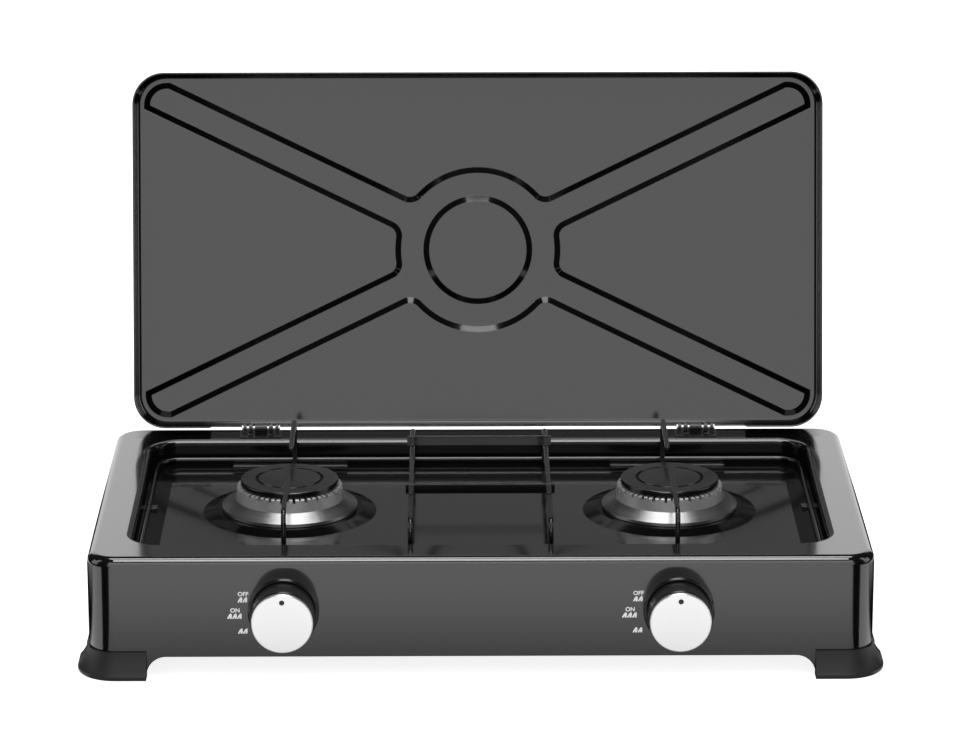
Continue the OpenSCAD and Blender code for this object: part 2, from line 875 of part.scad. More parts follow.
// Shallow cone with an upright lip, on a foot that fits round the cup's flange
module burner_trim(side) {
  in_r = crown_foot_r + loose_fit;
  top_r = in_r + trim_t / 2;
  foot_in_r = trim_foot_r - trim_t;
  slope = (trim_h - trim_edge_h) / (trim_r - top_r);
  under_h = trim_edge_h + slope * (trim_r - foot_in_r) - trim_t;
  color(steel)
    at_burner(side)
      translate([0, 0, dish_z])
        rotate_extrude()
          polygon([
            [foot_in_r, 0], [trim_foot_r, 0], [trim_foot_r, trim_edge_h - trim_lip],
            [trim_r, trim_edge_h - trim_lip], [trim_r, trim_edge_h], [top_r, trim_h],
            [in_r, trim_h], [in_r, trim_h - trim_t], [foot_in_r, under_h]
          ]);
}

// Flame ports all round, with a lower pilot port between each two
module crown_ports(shift, width, depth) {
  for (i = [0:port_count - 1])
    rotate(360 * (i + shift) / port_count - 90)
      translate([crown_in_r - 1, -width / 2, crown_top_z - depth])
        cube([crown_wall + crown_flare + 2, width, depth + 1]);
}

module burner_crown(side) {
  bevel = 0.6;
  color(aluminium)
    at_burner(side)
      difference() {
        rotate_extrude()
          polygon([
            [spigot_r - cup_wall, cup_top_z - spigot_h], [spigot_r, cup_top_z - spigot_h],
            [spigot_r, cup_top_z], [crown_foot_r - bevel, cup_top_z], [crown_foot_r, cup_top_z + bevel],
            [crown_r, crown_top_z - bevel], [crown_r - bevel, crown_top_z], [crown_in_r, crown_top_z],
            [crown_in_r, cup_top_z + crown_base], [spigot_r - cup_wall, cup_top_z + crown_base]
          ]);
        crown_ports(0.5, port_w, port_d);
        crown_ports(0, pilot_w, pilot_d);
      }
}

module burner_cap(side) {
  flat_r = cap_r - cap_edge_r;
  groove_z = cap_top_z + cap_dome * (1 - groove_r / flat_r) - groove_d;
  groove_round = (groove_w * groove_w / 4 + groove_d * groove_d) / (2 * groove_d);
  color(black_enamel)
    at_burner(side)
      difference() {
        rotate_extrude() {
          polygon([
            [0, crown_top_z], [cap_r, crown_top_z], [cap_r, cap_top_z - cap_edge_r],
            [flat_r, cap_top_z - cap_edge_r], [flat_r, cap_top_z], [0, cap_top_z + cap_dome]
          ]);
          translate([flat_r, cap_top_z - cap_edge_r])
            intersection() {
              circle(cap_edge_r);
              square(cap_edge_r);
            }
          translate([cap_ring_r - cup_wall, crown_top_z - cap_ring_h])
            square([cup_wall, cap_ring_h]);
        }
        rotate_extrude()
          translate([groove_r, groove_z + groove_round])
            circle(groove_round);
      }
}

// Gas rail

module rail_ring() {
  difference() {
    circle(rail_r);
    circle(rail_r - rail_wall);
  }
}

module gas_rail() {
  left_x = -tap_x - rail_end;
  bend_x = supply_mid_x - elbow_r;
  color(steel)
    difference() {
      union() {
        translate([left_x, rail_y, rail_z])
          rotate([0, 90, 0])
            linear_extrude(bend_x - left_x)
              rail_ring();
        translate([left_x, rail_y, rail_z])
          rotate([0, 90, 0])
            cylinder(r = rail_r, h = rail_wall);
        translate([bend_x, rail_y + elbow_r, rail_z])
          rotate(-90)
            rotate_extrude(angle = 90)
              translate([elbow_r, 0])
                rail_ring();
        translate([supply_mid_x, supply_end, rail_z])
          rotate([90, 0, 0])
            linear_extrude(supply_end - rail_y - elbow_r)
              rail_ring();
      }
      for (side = [-1, 1])
        translate([side * tap_x, rail_y, rail_z])
          cylinder(r = gas_r, h = rail_d);
    }
}

module rail_bracket(side) {
  panel_y = -body_d / 2 + sheet;
  color(steel)
    translate([side * bracket_x, 0, rail_z])
      difference() {
        union() {
          translate([0, rail_y, 0])
            bar_x(rail_r + bracket_t, bracket_w);
          translate([-bracket_w / 2, panel_y, -bracket_t / 2])
            cube([bracket_w, rail_y - panel_y, bracket_t]);
          translate([-bracket_w / 2, panel_y, -bracket_plate_h / 2])
            cube([bracket_w, bracket_t, bracket_plate_h]);
        }
        translate([0, rail_y, 0])
          bar_x(rail_r + seat_fit, bracket_w + 2);
      }
}

module hose_nozzle() {
  grip_pitch = nozzle_l / (grip_count + 1);
  color(brass)
    translate([supply_mid_x, body_d / 2, rail_z])
      rotate([-90, 0, 0])
        difference() {
          union() {
            translate([0, 0, -stem_l])
              cylinder(r = stem_r, h = stem_l);
            cylinder(r = nozzle_flange_r, h = nozzle_flange_t);
            cylinder(r = nozzle_r, h = nozzle_flange_t + nozzle_l);
          }
          translate([0, 0, -stem_l - 1])
            cylinder(r = nozzle_bore_r, h = stem_l + nozzle_flange_t + nozzle_l + 2);
          translate([0, 0, -stem_l - 1])
            cylinder(r = rail_r + seat_fit, h = socket_l + 1);
          for (i = [1:grip_count])
            translate([0, 0, nozzle_flange_t + i * grip_pitch - grip_w / 2])
              difference() {
                cylinder(r = nozzle_r + 1, h = grip_w);
                translate([0, 0, -1])
                  cylinder(r = nozzle_r - grip_depth, h = grip_w + 2);
              }
        }
}

module inlet_nut() {
  color(brass)
    translate([supply_mid_x, body_d / 2 - sheet, rail_z])
      rotate([90, 0, 0])
        difference() {
          cylinder(r = nut_hex_r, h = nut_t, $fn = 6);
          translate([0, 0, -1])
            cylinder(r = stem_r + seat_fit, h = nut_t + 2);
        }
}

// Taps

module clamp_screw_row(r, from, to) {
  for (s = [-1, 1])
    translate([0, from, s * clamp_screw_y - rail_setback])
      rotate([-90, 0, 0])
        cylinder(r = r, h = to - from);
}

module rail_bore() {
  translate([0, -rail_drop, -rail_setback])
    bar_x(rail_r + seat_fit, 2 * saddle_w);
}

module tap_body(side) {
  color(brass)
    at_tap(side)
      difference() {
        union() {
          translate([0, 0, tap_back])
            cylinder(r = tap_r, h = tap_l);
          translate([-saddle_w / 2, clamp_gap / 2 - rail_drop, -rail_setback - saddle_l / 2])
            cube([saddle_w, rail_drop - clamp_gap / 2, saddle_l]);
        }
        translate([0, 0, bore_back])
          cylinder(r = bore_r, h = bore_l + 1);
        translate([0, 0, tap_back - 1])
          cylinder(r = gas_r, h = tap_l);
        translate([0, 0, tap_back - 1])
          cylinder(r = jet_stem_r + seat_fit, h = jet_stem_l + 1 + loose_fit);
        translate([0, 0, -rail_setback])
          rotate([90, 0, 0])
            cylinder(r = gas_r, h = rail_drop);
        rail_bore();
        clamp_screw_row(clamp_screw_d / 2 + seat_fit, -rail_drop, clamp_screw_l + loose_fit - rail_drop);
      }
}

module tap_clamp(side) {
  color(steel)
    at_tap(side)
      difference() {
        translate([-saddle_w / 2, -rail_drop - rail_r - clamp_t, -rail_setback - saddle_l / 2])
          cube([saddle_w, clamp_h, saddle_l]);
        rail_bore();
        clamp_screw_row(clamp_screw_d / 2 + seat_fit, -rail_drop - 2 * rail_r, -rail_drop);
      }
}

module clamp_screws() {
  under = -rail_drop - rail_r - clamp_t;
  color(steel)
    for (side = [-1, 1])
      at_tap(side) {
        clamp_screw_row(clamp_screw_d / 2, under, clamp_screw_l - rail_drop);
        clamp_screw_row(clamp_head_r, under - clamp_head_h, under);
      }
}

module tap_bonnet(side) {
  color(brass)
    at_tap(side)
      difference() {
        union() {
          translate([0, 0, -tap_setback])
            cylinder(r = gland_hex_r, h = gland_t, $fn = 6);
          translate([0, 0, -tap_setback - gland_l])
            cylinder(r = bore_r - seat_fit, h = gland_l);
        }
        translate([0, 0, -tap_setback - gland_l - 1])
          cylinder(r = spindle_r + run_fit, h = gland_l + gland_t + 2);
      }
}

module tap_plug(side) {
  slot_w = blade_t + 2 * run_fit;
  color(brass)
    at_tap(side)
      difference() {
        translate([0, 0, plug_back])
          cylinder(r = bore_r - run_fit, h = plug_l);
        translate([-tail_r - run_fit, -slot_w / 2, plug_front - slot_l])
          cube([2 * (tail_r + run_fit), slot_w, slot_l + 1]);
      }
}

module spindle(side) {
  tail_end = plug_front + push + loose_fit;
  flat_y = spindle_r - flat_depth;
  color(steel)
    at_tap(side)
      difference() {
        union() {
          translate([0, 0, collar_front])
            cylinder(r = spindle_r, h = spindle_out - collar_front);
          translate([0, 0, collar_back])
            cylinder(r = collar_r, h = collar_t);
          translate([0, 0, tail_end])
            cylinder(r = tail_r, h = collar_back - tail_end);
          intersection() {
            translate([0, 0, plug_front - blade_l])
              cylinder(r = tail_r, h = tail_end - plug_front + blade_l);
            translate([-tail_r, -blade_t / 2, plug_front - blade_l])
              cube([2 * tail_r, blade_t, tail_end - plug_front + blade_l]);
          }
        }
        translate([-spindle_r, flat_y, knob_back])
          cube([spindle_d, spindle_r, spindle_out]);
      }
}

// Return spring as one unbroken tube: a ring of points at each step along the coil, then end caps
module tap_spring(side) {
  sides = 6;
  steps = ceil(8 * spring_turns);
  wire = spring_wire_d / 2;
  // Half a wire is kept free at each end, so that the tube stays inside the spring's length
  squeeze = (spring_l - spring_wire_d) / spring_l;
  points = [
    for (i = [0:steps], k = [0:sides - 1])
      let (turn = 360 * spring_turns * i / steps, face = 360 * k / sides, out = spring_r + wire * cos(face))
        [out * cos(turn), out * sin(turn), wire + squeeze * spring_l * i / steps + wire * sin(face)]
  ];
  walls = [
    for (i = [0:steps - 1], k = [0:sides - 1])
      let (a = i * sides + k, b = i * sides + (k + 1) % sides)
        each [[a, a + sides, b], [b, a + sides, b + sides]]
  ];
  caps = [
    for (k = [1:sides - 2])
      each [[0, k, k + 1], [steps * sides, steps * sides + k + 1, steps * sides + k]]
  ];
  color(steel)
    at_tap(side)
      translate([0, 0, plug_front + spring_end_gap])
        polyhedron(points, concat(walls, caps));
}

module jet(side) {
  hex_l = jet_l * 0.5;
  tip_r = jet_stem_r * 0.7;
  orifice_r = 0.4;
  color(brass)
    at_tap(side)
      difference() {
        union() {
          translate([0, 0, tap_back])
            cylinder(r = jet_stem_r, h = jet_stem_l);
          translate([0, 0, tap_back - hex_l])
            cylinder(r = jet_hex_r, h = hex_l, $fn = 6);
          translate([0, 0, jet_tip])
            cylinder(r1 = tip_r, r2 = jet_stem_r, h = jet_l - hex_l);
        }
        translate([0, 0, jet_tip + 2])
          cylinder(r = gas_r, h = jet_l + jet_stem_l);
        translate([0, 0, jet_tip - 1])
          cylinder(r = orifice_r, h = jet_l);
      }
}

// Knobs

module knob_bezel(side) {
  hole_r = spindle_r + 3 * loose_fit;
  bevel = bezel_r - bezel_bore_r > 1.4 ? 1 : 0.5;
  color(black_plastic)
    at_tap(side)
      rotate_extrude()
        polygon([
          [hole_r, -boss_l], [boss_r, -boss_l], [boss_r, 0], [bezel_r, 0], [bezel_r, bezel_h - bevel],
          [bezel_r - bevel, bezel_h], [bezel_bore_r, bezel_h], [bezel_bore_r, bezel_floor],
          [hole_r, bezel_floor]
        ]);
}

module knob(side) {
  bevel = 0.5;
  hollow_r = knob_r - knob_wall;
  flat_y = spindle_r - flat_depth + seat_fit;
  color(black_plastic)
    at_tap(side)
      difference() {
        rotate_extrude()
          polygon([
            [0, knob_back], [hub_r, knob_back], [hub_r, knob_front - knob_front_t],
            [hollow_r, knob_front - knob_front_t], [hollow_r, knob_back], [knob_r, knob_back],
            [knob_r, knob_front - bevel], [knob_r - bevel, knob_front], [0, knob_front]
          ]);
        intersection() {
          translate([0, 0, knob_back - 1])
            cylinder(r = spindle_r + seat_fit, h = spindle_out + loose_fit - knob_back + 1);
          translate([-knob_r, flat_y - 2 * knob_r, knob_back - 1])
            cube([2 * knob_r, 2 * knob_r, knob_l]);
        }
        translate([0, 0, knob_front - peg_l - loose_fit])
          cylinder(r = peg_r + seat_fit, h = peg_l + 1);
      }
}

module knob_face(side) {
  bevel = 0.6;
  color(bright)
    at_tap(side)
      translate([0, 0, knob_front])
        difference() {
          rotate_extrude()
            polygon([
              [0, -peg_l], [peg_r, -peg_l], [peg_r, 0], [face_r, 0], [face_r, face_t - bevel],
              [face_r - bevel, face_t], [0, face_t]
            ]);
          translate([0, dot_y, face_t - dot_depth])
            cylinder(r = dot_r, h = dot_depth + 1);
        }
}

// Hinges

module at_hinge(side) {
  translate([side * hinge_mid_x, pivot_y, pivot_z])
    children();
}

// Upright ear with a round top and the pin's hole
module hinge_ear(w) {
  difference() {
    union() {
      bar_x(ear_r, w);
      translate([-w / 2, -ear_r, -hinge_rise])
        cube([w, 2 * ear_r, hinge_rise]);
    }
    bar_x(pin_d / 2 + seat_fit, w + 2);
  }
}

module hinge_base(side) {
  color(black_enamel)
    difference() {
      at_hinge(side) {
        translate([-plate_w / 2, -plate_front, -hinge_rise])
          cube([plate_w, plate_front + plate_back, plate_t]);
        for (s = [-1, 1]) {
          translate([s * ear_x, 0, 0])
            hinge_ear(ear_w);
          translate([s * outer_ear_x, 0, 0])
            hinge_ear(outer_ear_w);
        }
      }
      for (s = [-1, 1])
        translate([side * hinge_mid_x + s * rivet_x, base_rivet_y, rim_z - 1])
          cylinder(r = rivet_r + seat_fit, h = plate_t + 2);
    }
}

module hinge_pin(side) {
  color(steel)
    at_hinge(side) {
      bar_x(pin_d / 2, pin_l);
      for (s = [-1, 1])
        translate([s * (pin_l + pin_head_t) / 2, 0, 0])
          bar_x(pin_d * 0.75, pin_head_t);
    }
}

module hinge_rivets() {
  color(steel)
    for (side = [-1, 1], s = [-1, 1])
      translate([side * hinge_mid_x + s * rivet_x, base_rivet_y, rim_z]) {
        translate([0, 0, -sheet])
          cylinder(r = rivet_r, h = sheet + plate_t);
        translate([0, 0, plate_t])
          cylinder(r = rivet_head_r, h = rivet_head_h);
        translate([0, 0, -sheet - rivet_head_h])
          cylinder(r = rivet_head_r, h = rivet_head_h);
      }
}

// Holes or shanks of the rivets that join the leaf to the lid's rear skirt, drawn on the closed lid
module leaf_rivet_row(side, r, from, to) {
  for (s = [-1, 1])
    translate([side * hinge_mid_x + s * rivet_x, pivot_y + from, leaf_rivet_z])
      rotate([-90, 0, 0])
        cylinder(r = r, h = to - from);
}

module hinge_leaf(side) {
  leaf_top = lid_top_z - lid_edge_r;
  color(black_enamel)
    lid_open()
      difference() {
        union() {
          at_hinge(side)
            bar_x(knuckle_r, knuckle_l);
          translate([side * hinge_mid_x - knuckle_l / 2, pivot_y - sheet - leaf_t, pivot_z])
            cube([knuckle_l, leaf_t, leaf_top - pivot_z]);
          translate([side * hinge_mid_x - leaf_l / 2, pivot_y - sheet - leaf_t, notch_z])
            cube([leaf_l, leaf_t, leaf_top - notch_z]);
        }
        at_hinge(side)
          bar_x(pin_d / 2 + run_fit, knuckle_l + 2);
        leaf_rivet_row(side, rivet_r + seat_fit, -sheet - leaf_t - 1, 1);
      }
}

module leaf_rivets() {
  color(steel)
    lid_open()
      for (side = [-1, 1]) {
        leaf_rivet_row(side, rivet_r, -sheet - leaf_t, 0);
        leaf_rivet_row(side, rivet_head_r, 0, rivet_head_h);
        leaf_rivet_row(side, rivet_head_r, -sheet - leaf_t - rivet_head_h, -sheet - leaf_t);
      }
}

// Lid, drawn closed and swung open

module lid_profile() {
  translate([-sheet, lid_z])
    square([sheet, lid_h - lid_edge_r]);
  translate([-lid_edge_r, lid_top_z - lid_edge_r])
    sheet_bend(lid_edge_r);
}

// Section of a pressed band: it narrows by its slope over its depth, on a short straight root
module press_section(half) {
  root = sheet / 2;
  polygon([
    [-half, -root], [half, -root], [half, 0],
    [half - press_slope, press_depth], [press_slope - half, press_depth], [-half, 0]
  ]);
}

// Rounded corner between a band along +X and the ring: a wedge from inside the pressing to the centre of the
// round, less the round itself, whose side slopes as the pressing's sides do
module press_corner(half, ring_r, round_r) {
  root = sheet / 2;
  over = 0.5;
  across = half + round_r;
  along = sqrt(pow(ring_r + round_r, 2) - pow(across, 2));
  deep_half = half - press_slope;
  deep_ring = ring_r - press_slope;
  corner = sqrt(pow(deep_ring, 2) - pow(deep_half, 2));
  difference() {
    translate([0, 0, -root])
      linear_extrude(root + press_depth)
        polygon([
          [along, across], [along, deep_half - 1], [corner - 2, deep_half - 2],
          [along, across] * (deep_ring - 1) / (ring_r + round_r)
        ]);
    translate([along, across, -root - over])
      cylinder(r = round_r, h = root + 2 * over);
    translate([along, across, 0])
      cylinder(r1 = round_r, r2 = round_r + press_slope * (1 + over / press_depth), h = press_depth + over);
  }
}

// Field that the pressing stays in, with ends that slope as its sides do
module press_field(inset) {
  over = 0.5;
  bottom = -sheet / 2 - over;
  top = press_depth + over;
  run = press_slope * top / press_depth;
  w = lid_w - 2 * inset;
  d = lid_d - 2 * inset;
  r = lid_corner_r - inset;
  translate([0, 0, bottom])
    linear_extrude(top - bottom)
      round_rect(w - 2 * run, d - 2 * run, r - run);
  run_round(w, d, r)
    polygon([[-run - 1, bottom], [0, bottom], [0, 0], [-run, top], [-run - 1, top]]);
}

// Four bands to the corners and the ring round the middle, grown outwards for the upper side of the sheet
module pressing(grow) {
  ring_mid = (press_ring_in + press_ring_out) / 2;
  ring_half = (press_ring_out - press_ring_in) / 2 + grow;
  band_half = press_w / 2 + grow;
  intersection() {
    union() {
      rotate_extrude()
        translate([ring_mid, 0])
          press_section(ring_half);
      for (turn = [press_angle, 180 - press_angle, 180 + press_angle, -press_angle])
        rotate(turn) {
          rotate([90, 0, 90])
            translate([0, 0, ring_mid])
              linear_extrude(lid_w / 2)
                press_section(band_half);
          for (s = [0, 1])
            mirror([0, s, 0])
              press_corner(band_half, press_ring_out + grow, press_round - grow);
        }
    }
    press_field(lid_edge_r + press_margin - grow);
  }
}

module lid_panel() {
  color(black_enamel)
    lid_open()
      difference() {
        union() {
          translate([0, lid_y, 0])
            run_round(lid_w, lid_d, lid_corner_r)
              lid_profile();
          translate([0, lid_y, lid_top_z - sheet])
            linear_extrude(sheet)
              round_rect(lid_w - 2 * lid_edge_r, lid_d - 2 * lid_edge_r, lid_corner_r - lid_edge_r);
          translate([0, lid_y, lid_top_z])
            pressing(press_grow);
        }
        translate([0, lid_y, lid_top_z - sheet])
          pressing(0);
        translate([-notch_x, pivot_y - lid_edge_r, lid_z - 1])
          cube([2 * notch_x, 2 * lid_edge_r, notch_z - lid_z + 1]);
        for (side = [-1, 1])
          leaf_rivet_row(side, rivet_r + seat_fit, -2 * sheet, sheet);
      }
}

// The spring's least gap to itself, measured between points half a curl or more apart
spring_steps = ceil(8 * spring_turns);
spring_gap = min([
  for (i = [0:spring_steps], j = [i + 4:1:spring_steps])
    norm(spring_point(i / spring_steps) - spring_point(j / spring_steps)) - spring_wire_d
]);
echo(spring_least_gap = spring_gap);

on_table() body_shell();
on_table() foot(-1, -1);  // foot_front_left
on_table() foot(1, -1);  // foot_front_right
on_table() foot(-1, 1);  // foot_rear_left
on_table() foot(1, 1);  // foot_rear_right
on_table() pan_ring();
on_table() finger(-1, -1);  // finger_front_left
on_table() finger(1, -1);  // finger_front_right
on_table() finger(-1, 1);  // finger_rear_left
on_table() finger(1, 1);  // finger_rear_right
on_table() centre_wire(-1);  // centre_wire_left
on_table() centre_wire(1);  // centre_wire_right
on_table() cross_strip(-1);  // cross_strip_front
on_table() cross_strip(1);  // cross_strip_rear
on_table() burner_cup(-1);  // burner_cup_left
on_table() burner_cup(1);  // burner_cup_right
on_table() burner_screws();
on_table() burner_trim(-1);  // burner_trim_left
on_table() burner_trim(1);  // burner_trim_right
on_table() burner_crown(-1);  // burner_crown_left
on_table() burner_crown(1);  // burner_crown_right
on_table() burner_cap(-1);  // burner_cap_left
on_table() burner_cap(1);  // burner_cap_right
on_table() gas_rail();
on_table() rail_bracket(-1);  // rail_bracket_left
on_table() rail_bracket(1);  // rail_bracket_right
on_table() hose_nozzle();
on_table() inlet_nut();
on_table() tap_body(-1);  // tap_body_left
on_table() tap_body(1);  // tap_body_right
on_table() tap_clamp(-1);  // tap_clamp_left
on_table() tap_clamp(1);  // tap_clamp_right
on_table() clamp_screws();
on_table() tap_bonnet(-1);  // tap_bonnet_left
on_table() tap_bonnet(1);  // tap_bonnet_right
on_table() tap_plug(-1);  // tap_plug_left
on_table() tap_plug(1);  // tap_plug_right
on_table() tap_spring(-1);  // tap_spring_left
on_table() tap_spring(1);  // tap_spring_right
on_table() spindle(-1);  // spindle_left
on_table() spindle(1);  // spindle_right
on_table() jet(-1);  // jet_left
on_table() jet(1);  // jet_right
on_table() knob_bezel(-1);  // knob_bezel_left
on_table() knob_bezel(1);  // knob_bezel_right
on_table() knob(-1);  // knob_left
on_table() knob(1);  // knob_right
on_table() knob_face(-1);  // knob_face_left
on_table() knob_face(1);  // knob_face_right
on_table() hinge_base(-1);  // hinge_base_left
on_table() hinge_base(1);  // hinge_base_right
on_table() hinge_pin(-1);  // hinge_pin_left
on_table() hinge_pin(1);  // hinge_pin_right
on_table() hinge_rivets();
on_table() hinge_leaf(-1);  // hinge_leaf_left
on_table() hinge_leaf(1);  // hinge_leaf_right
on_table() leaf_rivets();
on_table() lid_panel();
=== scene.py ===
import json
import math

import bmesh
import bpy
from mathutils import Matrix, Vector


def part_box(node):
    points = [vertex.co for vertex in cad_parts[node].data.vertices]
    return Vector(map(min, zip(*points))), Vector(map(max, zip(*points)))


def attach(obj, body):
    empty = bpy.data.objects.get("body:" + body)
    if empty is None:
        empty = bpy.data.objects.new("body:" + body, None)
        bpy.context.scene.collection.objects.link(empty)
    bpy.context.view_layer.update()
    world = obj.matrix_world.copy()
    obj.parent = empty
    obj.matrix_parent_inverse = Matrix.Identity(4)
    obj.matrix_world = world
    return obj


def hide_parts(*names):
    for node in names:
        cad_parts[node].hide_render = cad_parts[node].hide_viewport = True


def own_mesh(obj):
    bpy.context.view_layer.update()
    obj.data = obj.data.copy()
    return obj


bl_info = {
    "name": "Table-top Gas Hob",
    "version": (1, 0, 0),
    "blender": (4, 5, 0),
    "location": "View3D > Sidebar > Hob",
    "description": "Finishes, printed marks, welds and studio of a table-top gas hob",
    "category": "Object",
}

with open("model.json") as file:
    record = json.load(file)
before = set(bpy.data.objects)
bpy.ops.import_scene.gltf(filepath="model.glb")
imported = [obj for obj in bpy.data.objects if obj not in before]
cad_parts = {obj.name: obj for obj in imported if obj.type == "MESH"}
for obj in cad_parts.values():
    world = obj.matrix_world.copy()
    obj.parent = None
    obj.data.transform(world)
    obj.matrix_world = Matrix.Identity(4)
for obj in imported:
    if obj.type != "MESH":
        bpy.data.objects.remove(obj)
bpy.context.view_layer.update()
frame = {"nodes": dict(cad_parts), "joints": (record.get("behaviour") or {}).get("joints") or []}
NODES = frame["nodes"]
JOINTS = {joint["name"]: joint for joint in frame["joints"]}
SIDES = ("left", "right")
MM = 0.001


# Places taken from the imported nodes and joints


def middle(cad_node):
    low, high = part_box(cad_node)
    return (low + high) / 2


BURNER = middle("burner_cap_right")
PANEL_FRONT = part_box("body_shell")[0].y
# The open lid leans back by what its swing has beyond a right angle
LID_LEAN = math.radians(JOINTS["lid_hinge"]["range_deg"][1] - 90)
LID_FACING = (0.0, -math.cos(LID_LEAN), math.sin(LID_LEAN))
UPWARD = (0.0, 0.0, 1.0)


# Settings that a user would change


def colour(name, value, words):
    return bpy.props.FloatVectorProperty(
        name=name, description=words, default=value, size=3, min=0.0, max=1.0, subtype="COLOR"
    )


def length(name, value, words):
    return bpy.props.FloatProperty(
        name=name, description=words, default=value, min=0.0, unit="LENGTH", precision=4
    )


def lengths(name, values, words):
    return bpy.props.FloatVectorProperty(
        name=name, description=words, default=values, size=len(values), unit="LENGTH", precision=4
    )


def share(name, value, words):
    return bpy.props.FloatProperty(
        name=name, description=words, default=value, min=0.0, max=1.0, subtype="FACTOR"
    )


def angle(name, degrees, words):
    return bpy.props.FloatProperty(
        name=name, description=words, default=math.radians(degrees), subtype="ANGLE"
    )


def level(name, value, words, unit="NONE"):
    return bpy.props.FloatProperty(name=name, description=words, default=value, min=0.0, unit=unit)


class HobFinishes(bpy.types.PropertyGroup):
    """Colours and gloss of the hob's surfaces, and the shares of gloss taken away as painted shade"""

    enamel: colour("Enamel", (0.0025, 0.0025, 0.0026), "Black enamel of body and lid")
    enamel_gloss: share("Enamel roughness", 0.14, "Roughness of the enamel")
    enamel_round: length("Pressed edges", 1.2 * MM, "Radius of the soft edges that pressing leaves")
    # Painted shade: the enamel loses this share of its gloss on the dishes, the caps' grooves, the well's
    # inner walls and the rim under the lid, so that they look shaded
    painted_shade: share("Dullness", 0.85, "Share of the gloss that dishes, grooves and inner walls lack")
    dish_r: length("Dish radius", 57.5 * MM, "Radius of the duller dishes round the burners")
    groove_r: length("Groove radius", 21.6 * MM, "Middle radius of the duller groove in the caps")
    groove_half: length("Groove half width", 1.0 * MM, "Half the width of that groove")
    skirt_t: length("Skirt zone", 10 * MM, "Width of the body's outside zone that keeps its gloss")
    # Painted shade on the walls of the lid's pressed bands, fullest at the bands' ends, so that the walls
    # look dark
    wall_painted_shade: share("Band dullness", 0.6, "Share of the gloss that the walls of the lid's bands lack")
    band_painted_shade: share("Band end dullness", 0.97, "Share of the gloss that the bands' ends lack")
    band_end: length("Band end", 80 * MM, "Length of the duller ends of the lid's bands")
    lid_rim: length("Lid rim", 6 * MM, "Width of the lid's glossy rim beside the bands' ends")
    wire: colour("Wire enamel", (0.004, 0.004, 0.004), "Enamel of the pan support")
    cap: colour("Cap enamel", (0.004, 0.004, 0.004), "Enamel of the burner caps")
    foot: colour("Foot plastic", (0.0105, 0.0105, 0.0105), "Plastic of the feet")
    knob: colour("Knob plastic", (0.005, 0.005, 0.005), "Plastic of knob barrels and bezels")
    face: colour("Knob face", (0.98, 0.98, 0.98), "Bright faces of the knobs")
    steel: colour("Trim steel", (0.52, 0.52, 0.52), "Brushed steel of the burner rings")
    aluminium: colour("Cast aluminium", (0.64, 0.64, 0.64), "Cast burner crowns and cups")
    plated: colour("Plated steel", (0.62, 0.62, 0.62), "Plated rail, screws, rivets and pins")
    brass: colour("Brass", (0.64, 0.45, 0.2), "Brass of taps, jets and inlet")
    print_white: colour("Print", (0.95, 0.95, 0.95), "White print on the front panel")


class HobMarks(bpy.types.PropertyGroup):
    """Sizes and places of the printed marks and of the knobs' dots, from the knob's axis"""

    letter_h: length("Letter height", 2.9 * MM, "Height of the words ON and OFF")
    letter_bold: share("Letter weight", 0.03, "Thickening of the strokes, as a share of the font's size")
    flame_h: length("Flame height", 3.6 * MM, "Height of a flame mark")
    flame_pitch: length("Flame pitch", 3.15 * MM, "Distance between two flames of a mark")
    flame_left: length("Flame shift", 0.6 * MM, "Shift of the flames to the left of their word")
    row_gap: length("Row gap", 3.8 * MM, "Distance from a word's middle down to its flames' middle")
    print_t: length("Print thickness", 0.04 * MM, "Thickness of the printed film")
    off_left: length("OFF distance", 25.5 * MM, "Distance of the OFF mark to the left of the axis")
    off_up: length("OFF height", 10.6 * MM, "Height of the word OFF above the axis")
    on_left: length("ON distance", 30.7 * MM, "Distance of the ON mark to the left of the axis")
    on_down: length("ON drop", 0.3 * MM, "Drop of the word ON below the axis")
    low_down: length("Low mark drop", 14.1 * MM, "Drop of the low-flame mark below the axis")
    dot_r: length("Dot radius", 1.66 * MM, "Radius of the dark fill in a knob's dot")
    dot_up: length("Dot distance", 14.0 * MM, "Distance of the dot above the axis")
    dot_floor: length("Dot floor", 0.58 * MM, "Depth of the fill's back below the knob's face")
    dot_fill: length("Dot fill", 0.3 * MM, "Thickness of the fill at its edge")


